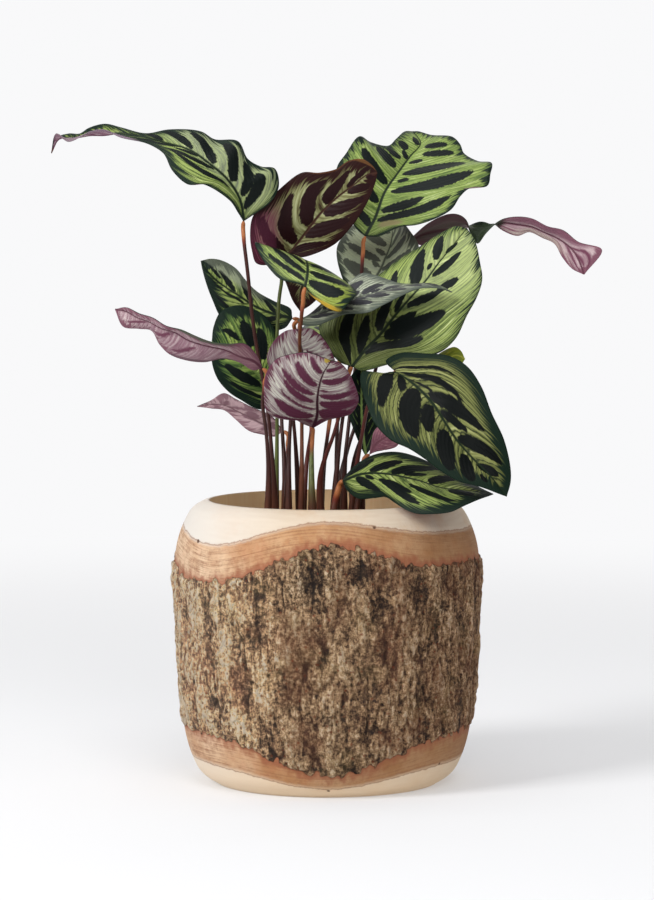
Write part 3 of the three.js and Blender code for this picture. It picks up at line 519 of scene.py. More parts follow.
      (6, 0, 30, 72, 9), (42, 20, 70, 70, 1.4), (33, 50, 66, 96, 2), (60, -60, 74, -20, 3),
      (5, -80, 30, -40, 5), (20, -90, 45, -60, 4)],
  },
  {  # front middle, purple side out, reaching forward
    "name": "12", "foot": [-7, -20, 2.6], "arch": -0.08, "sweep": (-0.05, 0.2),
    "finish": ("green", "magenta"), "stalk": "green",
    "rib": [[-7, -14, 185], [-5, -24, 193], [-5, -34, 200], [-4, -44, 208], [-2, -53, 215], [2, -62, 222]],
    "left": [[0, -16, 189], [7, -20, 191], [12, -26, 193], [16, -34, 200], [14, -44, 209], [10, -54, 217],
      [6, -60, 221]],
    "right": [[-12, -15, 187], [-19, -20, 191], [-26, -26, 191], [-31, -32, 195], [-32, -40, 205],
      [-31, -48, 214], [-26, -54, 222], [-18, -58, 225], [-10, -62, 226], [-3, -63, 224]],
    "stem": [[-8, -19, 158], [-8, -13, 171]],
    "marks": [(6, -10, 10, -90, 10), (25, -5, 22, -95, 10), (39, -6, 36, -95, 6), (50, -5, 47, -96, 4),
      (57, -5, 57, -30, 1.8), (70, -5, 65, -96, 4.5), (86, -10, 84, -95, 3.4), (10, 10, 20, 90, 6),
      (20, 8, 33, 80, 6), (30, 5, 44, 72, 2), (41, 6, 52, 72, 3.8), (51, 6, 57, 84, 3.6),
      (63, 5, 69, 84, 4.5), (81, 5, 83, 92, 3.6)],
    "tints": [(0.97, 0.7, 0.05, 0.5, "#B8A030", 0.8), (0, 0, 0.16, 1.6, "#5A2840", 0.6),
      (0.35, -1, 0.45, 0.3, "#6A3450", 0.66)],
  },
  {  # low at the left, purple side out
    "name": "13", "foot": [-22, 12, 2.2], "arch": -0.06, "sweep": (-0.3, 0.1), "finish": ("green", "pink"),
    "rib": [[-23, 19, 181], [-34, 20, 185], [-46, 20, 191], [-55, 18, 195], [-68, 17, 194]],
    "left": [[-29, 15, 189], [-40, 15, 194], [-48, 16, 198], [-54, 16, 201], [-61, 16, 197]],
    "right": [[-27, 21, 178], [-34, 22, 179], [-41, 22, 181], [-48, 21, 187], [-54, 20, 192],
      [-61, 18, 193]],
    "stem": [[-22, 12, 156], [-21, 16, 169]],
    "marks": [(29, -70, 43, 28, 6.5), (28, -88, 66, 2, 2.6), (82, -40, 77, 60, 2.2), (10, -50, 20, 50, 4),
      (55, 10, 62, 80, 3), (62, -60, 70, -10, 3)],
    "tints": [(0.5, 0, 1, 2, "#D8B8BC", 0.62)],
  },
  {  # the large one at the lower right
    "name": "14", "foot": [12, -7, 2.4], "arch": 0.07, "under": 7, "sweep": (0.65, 0.37),
    "finish": ("olive", "purple"), "stalk": "red",
    "rib": [[35, -34, 215], [45, -44, 208], [53, -51, 200], [59, -57, 191], [65, -62, 182], [72, -65, 174],
      [82, -68, 164], [90, -68, 154]],
    "left": [[30, -30, 220], [37, -29, 224], [51, -34, 224], [62, -38, 223], [71, -43, 218], [78, -49, 208],
      [83, -54, 195], [89, -58, 182], [92, -62, 169], [92, -66, 161]],
    "right": [[27, -36, 214], [18, -38, 215], [17, -43, 209], [20, -50, 199], [24, -56, 190],
      [32, -62, 182], [41, -66, 178], [49, -69, 173], [57, -71, 167], [66, -72, 162], [77, -71, 159],
      [85, -70, 156]],
    "stem": [[16, -8, 170], [18, -9, 179], [20, -11, 193], [24, -15, 205], [29, -22, 214]],
    "marks": [(3, -33, 30, -66, 2.8), (8, -15, 42, -52, 5), (15, -7, 27, -15, 2), (30, -3, 59, -66, 6.2),
      (42, -3, 57, -32, 4), (60, -3, 78, -74, 5.5), (79, 16, 85, -42, 4.2), (7, 5, 19, 30, 4),
      (5, 25, 22, 76, 5.5), (22, 5, 42, 77, 6.2), (35, 5, 45, 48, 4.5), (53, 10, 63, 85, 6.2),
      (69, 12, 76, 87, 4.5), (82, 38, 84, 66, 1.8)],
  },
  {  # lowest at the right, out over the rim
    "name": "15", "foot": [2, -19, 2.1], "arch": 0.06, "sweep": (0.3, 0.45),
    "rib": [[8, -22, 158], [17, -30, 162], [27, -37, 163], [37, -43, 162], [47, -48, 160], [57, -52, 157],
      [67, -54, 156], [84, -54, 154]],
    "left": [[10, -20, 161], [16, -21, 167], [23, -22, 171], [31, -24, 173], [38, -27, 173], [46, -31, 171],
      [58, -37, 166], [69, -43, 161], [77, -49, 157]],
    "right": [[10, -26, 154], [16, -34, 150], [24, -42, 151], [30, -48, 152], [34, -54, 150],
      [39, -60, 147], [45, -63, 145], [53, -65, 145], [62, -65, 146], [69, -63, 149], [77, -59, 152]],
    "stem": [[4, -19, 148]],
    "marks": [(8, -20, 14, -72, 7), (24, -6, 34, -62, 5), (38, -5, 52, -86, 5), (46, -10, 54, -38, 3.5),
      (62, -6, 67, -84, 4), (13, 8, 23, 80, 3.6), (20, 8, 23, 30, 2), (31, 24, 48, 78, 5.5),
      (36, 22, 47, 50, 4), (50, 22, 70, 76, 4), (77, 4, 83, 64, 6)],
  },
  {  # far right, twisted, with a long curled end
    "name": "16", "foot": [3, 12, 2.3], "arch": -0.06, "curled": 15, "sweep": (0.7, 0.7),
    "finish": ("green", "pink"),
    "rib": [[43, 46, 280], [52, 44, 284], [63, 41, 286], [70, 38, 287], [74, 36, 288], [78, 34, 286],
      [81, 33, 286], [85, 32, 287], [88, 31, 289], [93, 28, 290], [100, 26, 289], [107, 24, 288],
      [114, 22, 285], [122, 19, 281], [128, 16, 276], [131, 14, 271], [134, 13, 263]],
    "left": [[53, 43, 277], [63, 41, 279], [70, 42, 282], [74, 42, 287], [80, 39, 290], [83, 37, 290],
      [86, 35, 289], [88, 34, 289], [92, 31, 286], [100, 28, 283], [106, 27, 285], [113, 25, 282],
      [119, 22, 279], [123, 19, 272], [128, 16, 266]],
    "right": [[53, 41, 289], [63, 38, 294], [69, 32, 294], [73, 28, 291], [76, 28, 283], [79, 29, 279],
      [83, 28, 284], [88, 28, 289], [93, 25, 292], [100, 22, 293], [107, 20, 292], [115, 17, 288],
      [123, 15, 286], [131, 13, 280], [143, 11, 276]],
    "stem": [[7, 14, 156], [12, 18, 176], [24, 26, 207], [34, 36, 249], [39, 44, 269]],
    "marks": [(84, -10, 98, -70, 1.2), (86, 10, 98, 70, 1.2), (90, 0, 100, 30, 1)],
    "tints": [(0.7, 0.7, 0.25, 0.6, "#7A5060", 0.75), (0.7, -0.8, 0.25, 0.7, "#B8AAA0", 0.7),
      (0.12, 0.6, 0.34, 2.4, "#4C4A40", 0.7), (0.42, 0.3, 0.12, 2.4, "#2E3A28", 0.9)],
  },
  {  # young and yellowish, behind 06 and 14
    "name": "17", "foot": [15, 3, 2.1], "arch": 0.05, "sweep": (0.3, 0.4), "finish": ("young", "young"),
    "rib": [[38, 8, 202], [48, 10, 209], [59, 11, 217], [67, 12, 221], [72, 12, 219]],
    "left": [[44, 14, 210], [55, 16, 219], [63, 16, 224], [67, 15, 225], [70, 13, 223]],
    "right": [[44, 6, 202], [55, 7, 207], [63, 8, 212], [69, 10, 215]],
    "stem": [[13, 8, 161], [20, 16, 182], [30, 13, 195]],
  },
  {  # dark, behind the stems at the right
    "name": "18", "foot": [18, -5, 2], "arch": 0.05, "sweep": (0.3, 0.3), "finish": ("deep", "purple"),
    "rib": [[20, 2, 169], [19, 4, 177], [18, 8, 190], [18, 10, 206], [18, 10, 216]],
    "left": [[17, 3, 175], [12, 7, 188], [10, 9, 200], [13, 10, 211]],
    "right": [[24, 3, 175], [27, 8, 187], [27, 10, 200], [22, 10, 211]],
    "stem": [[19, -1, 161]],
  },
  {  # small, half rolled, with a pink back, behind 14
    "name": "19", "foot": [13, -14, 1.8], "arch": -0.1, "sweep": (0.3, 0.3), "finish": ("green", "pink"),
    "rib": [[22, -12, 171], [26, -16, 177], [31, -20, 181], [36, -22, 185]],
    "left": [[26, -16, 173], [31, -18, 174], [36, -20, 176], [38, -22, 181]],
    "right": [[23, -12, 177], [25, -14, 184], [30, -18, 187]],
    "stem": [[18, -13, 160]],
    "tints": [(0.5, 0, 1.4, 3, "#B98088", 0.6)],
  },
  {  # back right
    "name": "20", "foot": [7, 19, 2.3], "arch": 0.06,
    "rib": [[7, 30, 222], [11, 52, 234], [16, 78, 241], [20, 102, 238]],
    "left": [[-5, 34, 221], [-13, 55, 230], [-11, 80, 234], [3, 98, 236]],
    "right": [[18, 33, 223], [32, 52, 230], [36, 76, 234], [30, 95, 236]],
    "stem": [[5, 20, 166], [6, 24, 197]],
  },
  {  # back left
    "name": "21", "foot": [-14, 18, 2.3], "arch": 0.06,
    "rib": [[-22, 26, 207], [-30, 46, 218], [-38, 68, 224], [-47, 88, 222]],
    "left": [[-32, 27, 205], [-48, 44, 210], [-57, 68, 214], [-57, 84, 219]],
    "right": [[-13, 33, 208], [-14, 58, 214], [-24, 80, 218], [-37, 91, 221]],
    "stem": [[-16, 20, 166], [-18, 22, 190]],
  },
  {  # back middle
    "name": "22", "foot": [-4, 20, 2.3], "arch": 0.06,
    "rib": [[2, 30, 190], [6, 54, 198], [10, 80, 200], [13, 102, 192]],
    "left": [[-8, 34, 188], [-15, 56, 192], [-11, 80, 194], [2, 98, 192]],
    "right": [[13, 34, 190], [27, 54, 194], [33, 78, 195], [27, 97, 192]],
    "stem": [[-2, 23, 160]],
  },
]


# ---------------------------------------------------------------- curves of the leaves


class Curve:
    """A smooth curve through points, with places on it given as shares of its length."""

    STEPS = 200

    def __init__(self, points):
        self.points = np.array(points, float)
        self.t = np.linspace(0, 1, self.STEPS + 1)
        lengths = np.linalg.norm(np.diff(self.point(self.t), axis=0), axis=1)
        self.lengths = np.concatenate([[0], np.cumsum(lengths)])
        self.length = self.lengths[-1]

    def point(self, t):
        """Points at shares of the way counted in the curve's own points."""
        p, spans = self.points, len(self.points) - 1
        p = np.vstack([2 * p[0] - p[1], p, 2 * p[-1] - p[-2]])
        t = np.clip(np.atleast_1d(t), 0, 1) * spans
        at = np.minimum(t.astype(int), spans - 1)
        w = (t - at)[:, None]
        a, b, c, d = p[at], p[at + 1], p[at + 2], p[at + 3]
        d0, d1, d2 = (np.linalg.norm(n - m, axis=1)[:, None] ** 0.5 for m, n in
                      ((a, b), (b, c), (c, d)))
        t1 = d1 * ((b - a) / d0 - (c - a) / (d0 + d1) + (c - b) / d1)
        t2 = d1 * ((c - b) / d1 - (d - b) / (d1 + d2) + (d - c) / d2)
        return b + w * (t1 + w * (3 * (c - b) - 2 * t1 - t2 + w * (2 * (b - c) + t1 + t2)))

    def t_at(self, share):
        """The curve's own count at shares of the length."""
        return np.interp(np.atleast_1d(share) * self.length, self.lengths, self.t)

    def at(self, share):
        """Points at shares of the length."""
        return self.point(self.t_at(share))

    def tangent_at(self, share):
        """Directions at shares of the length."""
        t, step = self.t_at(share), 1e-4
        return unit(self.point(np.minimum(t + step, 1)) - self.point(np.maximum(t - step, 0)))

    def share_before(self, from_end):
        """The share of the length before a point counted back from the end."""
        place = 1 - from_end / (len(self.points) - 1)
        return self.lengths[int(place * self.STEPS + 0.5)] / self.length


VEIN_SWEEP = 0.45  # how strongly the rows run forward on their way to the margin
SWEEP_POWER = 0.8
VEIN_BOW = 0.1  # how far a row bends back, as a share of its length
BASE_HALF_WIDTH = 1.1
TIP_HALF_WIDTH = 0.4


class Blade:
    """The middle surface of one leaf, on a grid of rows along it and columns across it."""

    def __init__(self, leaf, rows, columns):
        self.leaf = leaf
        self.rib = Curve(leaf["rib"])
        even = np.linspace(0, 1, rows + 1)
        row = self.row = 0.4 * even + 0.6 * (0.5 - 0.5 * np.cos(np.pi * even))
        self.across = np.linspace(-1, 1, columns + 1)
        start, tangent = self.rib.at(row), self.rib.tangent_at(row)
        left, right = (self.row_ends(self.margin(side), row) for side in ("left", "right"))
        self.upper = unit(np.cross(right - left, tangent))
        begun = 4 * smoothstep(row, 0, 0.3)[:, None, None]
        across = self.across[None, :, None]
        reach = np.abs(across)
        end = np.where(across < 0, left[:, None], right[:, None])
        self.width = np.linalg.norm(end - start[:, None], axis=2)
        bow = begun * self.width[:, :, None] * reach * (1 - reach)
        self.points = start[:, None] * (1 - reach) + end * reach
        self.points += bow * (leaf["arch"] * self.upper[:, None] - VEIN_BOW * tangent[:, None])

    def margin(self, side):
        """The curve of one margin, from beside the blade's base to beside its tip."""
        base, tip = np.array(self.leaf["rib"][0], float), np.array(self.leaf["rib"][-1], float)
        points = np.array(self.leaf[side], float)
        first = base + unit(points[0] - base) * BASE_HALF_WIDTH
        last = tip + unit(points[-1] - tip) * TIP_HALF_WIDTH
        return Curve([first, *points, last])

    def row_ends(self, margin, row):
        """Where the rows end on a margin: swept forward in the blade, in pairs in a curled end."""
        curled = self.leaf.get("curled", 0)
        blade = self.rib.share_before(curled)
        inside = np.clip(row / blade, 0, 1)
        forward = VEIN_SWEEP * (1 - inside) * inside**SWEEP_POWER
        ends = margin.at(margin.share_before(curled) * (inside + forward))
        if curled:
            from_end = (1 - self.rib.t_at(row)) * (len(self.leaf["rib"]) - 1)
            paired = margin.point(1 - from_end / (len(margin.points) - 1))
            ends = np.where((row < blade)[:, None], ends, paired)
        return ends


# ---------------------------------------------------------------- pattern of the leaves


def usual_marks(leaf):
    """Dark blotches that stand by turns long and short along each side of the midrib."""
    marks = []
    for side, first, step in ((-1, 0.06, 0.13), (1, 0.1, 0.125)):
        for k in range(7):
            row = first + k * step
            sweep = leaf.get("sweep", (0.3, 0.3))[0 if side < 0 else 1] * (1 - row)
            long_one = (row, side * 0.08, row + 0.62 * sweep, side * 0.7, 0.032)
            short = (row + 0.055, side * 0.06, row + 0.055 + 0.25 * sweep, side * 0.31, 0.02)
            marks += [long_one, short]
    return marks


FAR_OFF = 9.0


def mark_distance(blade, marks):
    """How far each grid point is outside the nearest blotch, in mm; below 0 inside it.

    A blotch is (row and across where it starts, row and across where it ends, half width), with
    rows and widths as shares of the midrib and across from -1 at the left margin to 1.
    """
    row, across = blade.row[:, None], blade.across[None, :]
    nearest = np.full((len(blade.row), len(blade.across)), FAR_OFF)
    for row_in, in_at, row_out, out_at, half in marks:
        along = (across - in_at) / (out_at - in_at)
        middle = row_in + (row_out - row_in) * along
        span = abs(out_at - in_at) * blade.width.max()
        lean = span / math.hypot(span, (row_out - row_in) * blade.rib.length)
        inside = np.clip(along, 0.001, 0.999)
        # Blunt at both ends, and a little wider towards the midrib.
        wide = half * (4 * inside * (1 - inside)) ** 0.42 * (1.12 - 0.24 * inside)
        beside = (np.abs(row - middle) - wide) * blade.rib.length * lean
        past = np.maximum(np.maximum(-along, along - 1), 0) * span
        nearest = np.minimum(nearest, np.hypot(np.maximum(beside, 0), past) + np.minimum(beside, 0))
    return nearest


def tints(blade, spots):
    """Soft spots of another colour, as colour and strength at each grid point.

    A spot is (row, across, half length as row share, half width across, colour, strength).
    """
    row, across = blade.row[:, None], blade.across[None, :]
    tint = np.zeros((len(blade.row), len(blade.across), 4))
    for at_row, at_across, long, wide, code, strength in spots:
        away = np.hypot((row - at_row) / long, (across - at_across) / wide)
        cover = (strength * (1 - smoothstep(away, 0.5, 1)))[:, :, None]
        tint = tint * (1 - cover) + cover * np.array([*linear(code)[:3], 1])
    tint[:, :, :3] /= np.maximum(tint[:, :, 3:], 1e-6)
    return tint


def vein_place(blade, sweep):
    """A number that is the same all along a side vein, and grows 1 for each mm between veins."""
    row, across = blade.row[:, None], blade.across[None, :]
    lean = np.where(across < 0, sweep[0], sweep[1]) * np.abs(across) ** 1.15
    vein = (row - lean) / (1 - lean) * blade.rib.length
    along, aside = (np.linalg.norm(np.gradient(blade.points, axis=k), axis=2) for k in (0, 1))
    rise_along, rise_aside = np.gradient(vein)
    steep = np.hypot(rise_along / (along + 1e-6), rise_aside / (aside + 1e-6))
    middle = len(blade.across) // 2
    for half in (slice(0, middle), slice(middle, None)):
        vein[:, half] /= np.median(steep[:, half])
    return vein


ROWS = 130
LONG_ROWS = 220  # for a leaf with a curled end
COLUMNS = 64
RIPPLE = 0.12


class CALATHEA_OT_blades(bpy.types.Operator):
    """Grow the blades, each with its veins and blotches"""

    bl_idname = "calathea.blades"
    bl_label = "Leaf blades"

    def execute(self, context):
        leaves = context.scene.calathea_leaves
        finishes = {}
        for leaf in LEAVES:
            rows = LONG_ROWS if "curled" in leaf else ROWS
            name = f"blade_{leaf['name']}"
            piece = fresh(bpy.ops.mesh.primitive_grid_add, name, size=2,
                          x_subdivisions=COLUMNS, y_subdivisions=rows)
            blade = Blade(leaf, rows, COLUMNS)
            flat = positions(piece)
            column = np.rint((flat[:, 0] + 1) / 2 * COLUMNS).astype(int)
            line = np.rint((flat[:, 1] + 1) / 2 * rows).astype(int)
            wave = ripple(blade)
            points = blade.points + wave[:, :, None] * blade.upper[:, None]
            place(piece, points[line, column])
            sweep = leaf.get("sweep", (0.3, 0.3))
            marks = np.array(leaf["marks"]) / 100 if "marks" in leaf else usual_marks(leaf)
            reach = np.abs(blade.across)[None, :]
            to_tip = (1 - blade.row[:, None]) * blade.rib.length
            edge = np.minimum((1 - reach) * blade.width, to_tip)
            fields = {
                "vein": vein_place(blade, sweep),
                "blotch": mark_distance(blade, marks),
                "from_margin": edge + leaf.get("pale_margin", 0),
                "from_midrib": reach * blade.width,
                "along": np.repeat(blade.row[:, None], COLUMNS + 1, axis=1),
            }
            for key, values in fields.items():
                field(piece, key, values[line, column])
            paint(piece, "tint", tints(blade, leaf.get("tints", []))[line, column])
            solidify = piece.modifiers.new("Thickness", "SOLIDIFY")
            solidify.thickness = leaves.thickness
            solidify.offset = 0
            solidify.material_offset = 1
            solidify.material_offset_rim = 0
            for kind in leaf.get("finish", ("green", "purple")):
                if kind not in finishes:
                    finishes[kind] = leaf_finish(leaves, kind)
                piece.data.materials.append(finishes[kind])
            bpy.ops.object.modifier_apply(modifier=solidify.name)
            finish_piece(piece, [f"leaf_{leaf['name']}_blade"], [])
        return {"FINISHED"}


def ripple(blade):
    """A slight rise and fall of the blade between its side veins, in mm."""
    seed = sum(map(ord, blade.leaf["name"])) * 7.3
    row = blade.row * blade.rib.length
    waves = np.sin(row / 3.1 + seed)[:, None] * np.sin(np.abs(blade.across) * 3.0)[None, :]
    fade = smoothstep(blade.row, 0.02, 0.15) * (1 - smoothstep(blade.row, 0.9, 1))
    return RIPPLE * waves * fade[:, None]


# ---------------------------------------------------------------- stalks


ROOT_Z = 104  # where the roots of the stalks lie in the soil
SHEATH_TOP = 60  # how far above the soil the sheath round a stalk has thinned away
STALK_APPROACH = 5  # from the last bend of a stalk to its blade
STALK_UNDER = 2.5  # how far below the blade that bend is
STALK_END_GAP = 0.1
STALK_SIDES = 16
RING_SPACING = 1.2
KNUCKLE = 15  # length of the thicker end below a blade
TAPER = 1.6  # the last of a stalk, which narrows to half
SMOOTHING = 9  # how much of a stalk on either side evens out its bends


def stalk_curve(leaf, soil_top):
    """The stalk rises from its root, runs through its points and meets the blade from behind."""
    base = np.array(leaf["rib"][0], float)
    along = unit(np.array(leaf["rib"][1], float) - base)
    across = np.array(leaf["right"][0], float) - np.array(leaf["left"][0], float)
    upper = unit(np.cross(across, along))
    x, y = leaf["foot"][:2]
    below = leaf.get("under", STALK_UNDER)
    return Curve([
        [x, y, ROOT_Z], [x, y, soil_top + 3], *leaf["stem"],
        base - STALK_APPROACH * along - below * upper,
        base - STALK_END_GAP * (along + upper),
    ])


def tube(name, curve, radius_at, sides, rings):
    """A round rod with closed ends, made from a cylinder and bent along a curve."""
    piece = fresh(bpy.ops.mesh.primitive_cylinder_add, name, vertices=sides, radius=1, depth=1)
    bpy.ops.object.mode_set(mode="EDIT")
    bpy.ops.mesh.select_mode(type="EDGE")
    bpy.ops.mesh.select_all(action="DESELECT")
    bpy.ops.object.mode_set(mode="OBJECT")
    co = positions(piece)
    for edge in piece.data.edges:
        low, high = edge.vertices
        edge.select = bool(abs(co[low, 2] - co[high, 2]) > 0.5)
    bpy.ops.object.mode_set(mode="EDIT")
    bpy.ops.mesh.subdivide(number_cuts=rings - 1)
    bpy.ops.object.mode_set(mode="OBJECT")
    co = positions(piece)
    share = co[:, 2] + 0.5
    # The middle line is an average over some length either way, less near both ends.
    room = np.minimum(SMOOTHING, np.minimum(share, 1 - share) * curve.length) / curve.length
    middle = np.mean([curve.at(share + room * k / 3) for k in range(-3, 4)], axis=0)
    along = unit(np.mean([curve.tangent_at(share + room * k / 3) for k in range(-3, 4)], axis=0))
    side = unit(np.cross(along, [0.0, 1.0, 0.15]))
    other = np.cross(along, side)
    radius = radius_at(share * curve.length)[:, None]
    place(piece, middle + radius * (co[:, :1] * side + co[:, 1:2] * other))
    return piece, share * curve.length


class CALATHEA_OT_stalks(bpy.types.Operator):
    """Raise the stalks from their sheaths in the soil to the blades"""

    bl_idname = "calathea.stalks"
    bl_label = "Leaf stalks"

    def execute(self, context):
        leaves = context.scene.calathea_leaves
        soil_top = context.scene.calathea_pot.soil_top / MM
        stalk, knuckle = leaves.stalk_radius / MM, leaves.knuckle_radius / MM
        finishes = {}
        for leaf in LEAVES:
            curve = stalk_curve(leaf, soil_top)
            buried = soil_top - ROOT_Z

            def radius_at(place_mm, foot=leaf["foot"][2], length=curve.length):
                sheath = 1 - smoothstep(place_mm, buried, buried + SHEATH_TOP)
                swollen = smoothstep(place_mm, length - KNUCKLE, length - KNUCKLE / 2)
                round_one = stalk + (knuckle - stalk) * swollen
                full = np.maximum(round_one, round_one + (foot - round_one) * sheath)
                closing = smoothstep(length - place_mm, 0, TAPER)
                return full * (0.5 + 0.5 * closing)

            name = f"stalk_{leaf['name']}"
            rings = max(40, int(curve.length / RING_SPACING))
            piece, from_root = tube(name, curve, radius_at, STALK_SIDES, rings)
            field(piece, "from_soil", from_root - buried)
            field(piece, "to_blade", curve.length - from_root)
            kind = leaf.get("stalk", "dark")
            if kind not in finishes:
                finishes[kind] = stalk_finish(leaves, kind)
            finish_piece(piece, [f"leaf_{leaf['name']}_stem"], [finishes[kind]])
        return {"FINISHED"}


# ---------------------------------------------------------------- soil


CRUMBS = 700
SOIL_FALL = 2.5  # how much lower the soil is at the wall than in the middle


class CALATHEA_OT_soil(bpy.types.Operator):
    """Fill the pot with potting soil and its crumbs"""

    bl_idname = "calathea.soil"
    bl_label = "Soil"

    def execute(self, context):
        pot = context.scene.calathea_pot
        top, floor = pot.soil_top / MM, pot.floor / MM + 0.3
        wall = bore_radius(top, pot) - 0.3
        shares = np.linspace(1, 0, 60)
        surface = [(wall * s, top - SOIL_FALL * s * s) for s in shares]
        profile = [(0, floor), (bore_radius(floor, pot) - 0.3, floor), *surface]
        piece = turned("potting_soil", profile, 160)
        co = positions(piece) / MM
        radius = np.hypot(co[:, 0], co[:, 1])
        on_top = (co[:, 2] > top - 3) & (radius < wall - 0.1)
        lumps = 1.1 * scaly(co, 7, 7) + 0.7 * scaly(co + 30, 2.6, 2.6)
        co[:, 2] += np.where(on_top, np.minimum(lumps, 1.2) - 0.4, 0)
        place(piece, co)
        finish_piece(piece, ["soil"], [soil_finish(pot, "Potting soil, damp peat", 0.9)],
                     angle=40)
        crumbs = scattered("soil_crumbs", CRUMBS, wall - 2.5, top)
        finish_piece(crumbs, ["soil"], [soil_finish(pot, "Bark chips and crumbs", 1.25)],
                     angle=30)
        return {"FINISHED"}


def scattered(name, count, reach, top):
    """Crumbs of bark and peat that lie on the soil, each with a mesh of its own."""
    crumb = fresh(bpy.ops.mesh.primitive_ico_sphere_add, name, subdivisions=1, radius=1)
    corners = positions(crumb)
    faces = np.array([face.vertices[:] for face in crumb.data.polygons])
    draw = np.random.default_rng(7)
    points, triangles = [], []
    for k in range(count):
        size = draw.uniform(0.5, 1.3) * np.array([1, draw.uniform(0.5, 1), draw.uniform(0.35, 0.8)])
        turn = draw.uniform(0, 2 * math.pi)
        c, s = math.cos(turn), math.sin(turn)
        lump = corners * size * draw.uniform(0.8, 1.2, corners.shape)
        lump = lump @ np.array([[c, s, 0], [-s, c, 0], [0, 0, 1]])
        away, around = reach * math.sqrt(draw.uniform()), draw.uniform(0, 2 * math.pi)
        height = top - SOIL_FALL * (away / reach) ** 2 + draw.uniform(-0.1, 0.5)
        lump += [away * math.cos(around), away * math.sin(around), height]
        points.append(lump)
        triangles.append(faces + k * len(corners))
    crumb.data.clear_geometry()
    crumb.data.from_pydata((np.vstack(points) * MM).tolist(), [], np.vstack(triangles).tolist())
    return crumb


# ---------------------------------------------------------------- finishes


RANGE = ("Value", "From Min", "From Max", "To Min", "To Max")
NOISE = ("Vector", "Scale", "Detail", "Roughness", "Distortion")
SMOOTH = {"interpolation_type": "SMOOTHSTEP"}


def coats(tree, colour, rows, **ranges):
    """Lay coats over a colour, each with its share and colour, and its blend where it isn't a mix.

    A share that is a tuple is a source and the range that it is taken from, and to.
    """
    for share, coat, *blend in rows:
        if isinstance(share, tuple):
            share = node(tree, "MapRange", dict(zip(RANGE, share)), **ranges)
        colour = node(tree, "Mix", {0: share, 6: colour, 7: coat}, data_type="RGBA",
                      blend_type=blend[0] if blend else "MIX")
    return colour


def grade(ramp, steps):
    """Set the steps of a colour ramp, each a place from 0 to 1 and its colour."""
    while len(ramp.elements) < len(steps):
        ramp.elements.new(0.5)
    for element, (spot, colour) in zip(ramp.elements, steps):
        element.position, element.color = spot, colour


LEAF_USUAL = {
    "band": 4.4,  # width of the dark margin, mm
    "swell": 0.5,  # how far the blotches reach past their marks, mm
    "soft": 0.35,  # half width of the soft edge of a blotch, mm
    "lines": 0.75,  # strength of the fine veins
    "rough": 0.45,
    "gloss": 0.2,
}

# Name, tones of the ground from the darkest streaks to the palest, then the colours of the blotches,
# margin, fine veins and midrib, and what isn't as usual. A word names a colour of the settings.
LEAF_FINISHES = {
    "green": (
        "Leaf upper side, waxy green", ("#33462A", "ground", "#98A85C", "#C2CC90"),
        ("blotch", "margin", "#2E3E1E", "#1A2618"), {}),
    "olive": (
        "Leaf upper side, dark olive", ("#3A3F22", "#5F6437", "#7A7E4A", "#A0A26E"),
        ("#070B0A", "margin", "#1C2416", "#1A2618"), {"band": 5.0, "lines": 0.9, "gloss": 0.1}),
    "deep": (
        "Leaf upper side, deep green", ("#1C3022", "#536B36", "#84984C", "#B4C07A"),
        ("blotch", "margin", "#1C2E1C", "#6E8448"), {"band": 4.6, "gloss": 0.1}),
    # Grey green is painted sheen: a green upper side seen glancing, with its sheen painted grey into the
    # ground, blotches and margin.
    "grey": (
        "Leaf upper side, grey green", ("#454A42", "#7E8472", "#A2A894", "#D0D4BE"),
        ("#303034", "#4C544A", "#44493A", "#565C50"), {"band": 2.0, "rough": 0.36, "gloss": 0.38}),
    "purple": (
        "Leaf underside, matt purple", ("#7C5566", "#A08893", "#B3A3A6", "#C9BFBF"),
        ("purple", "purple", "#86606F", "#5F3147"), {"band": 3.0, "rough": 0.5}),
    "magenta": (
        "Leaf underside, magenta stripes", ("#7A5C66", "#ABA09E", "#C8C4BA", "#E6E6D8"),
        ("#5E3044", "#66384A", "#94787E", "#40202C"),
        {"band": 1.0, "lines": 0.6, "swell": 0.0, "soft": 0.8}),
    "pink": (
        "Leaf underside, pale pink", ("#7C5662", "#A4888F", "#BFA9AB", "#DED0CC"),
        ("#6A3C4E", "#7A505E", "#8A6872", "#5A3240"), {"band": 1.8, "rough": 0.5, "soft": 0.9}),
    "maroon": (
        "Leaf underside, dark maroon", ("#33201A", "#6A6842", "#94966A", "#B2B48C"),
        ("#220D0F", "#28110F", "#4A3A28", "#3A221A"),
        {"band": 4.5, "rough": 0.42, "lines": 0.1, "gloss": 0.15}),
    "young": (
        "Young leaf, yellow green", ("#8A9430", "#A8AC34", "#BEC052", "#D0D078"),
        ("#6C7A22", "#7A8626", "#767E22", "#A5A83C"), {}),
}
TONE_PLACES = (0.34, 0.45, 0.56, 0.68)


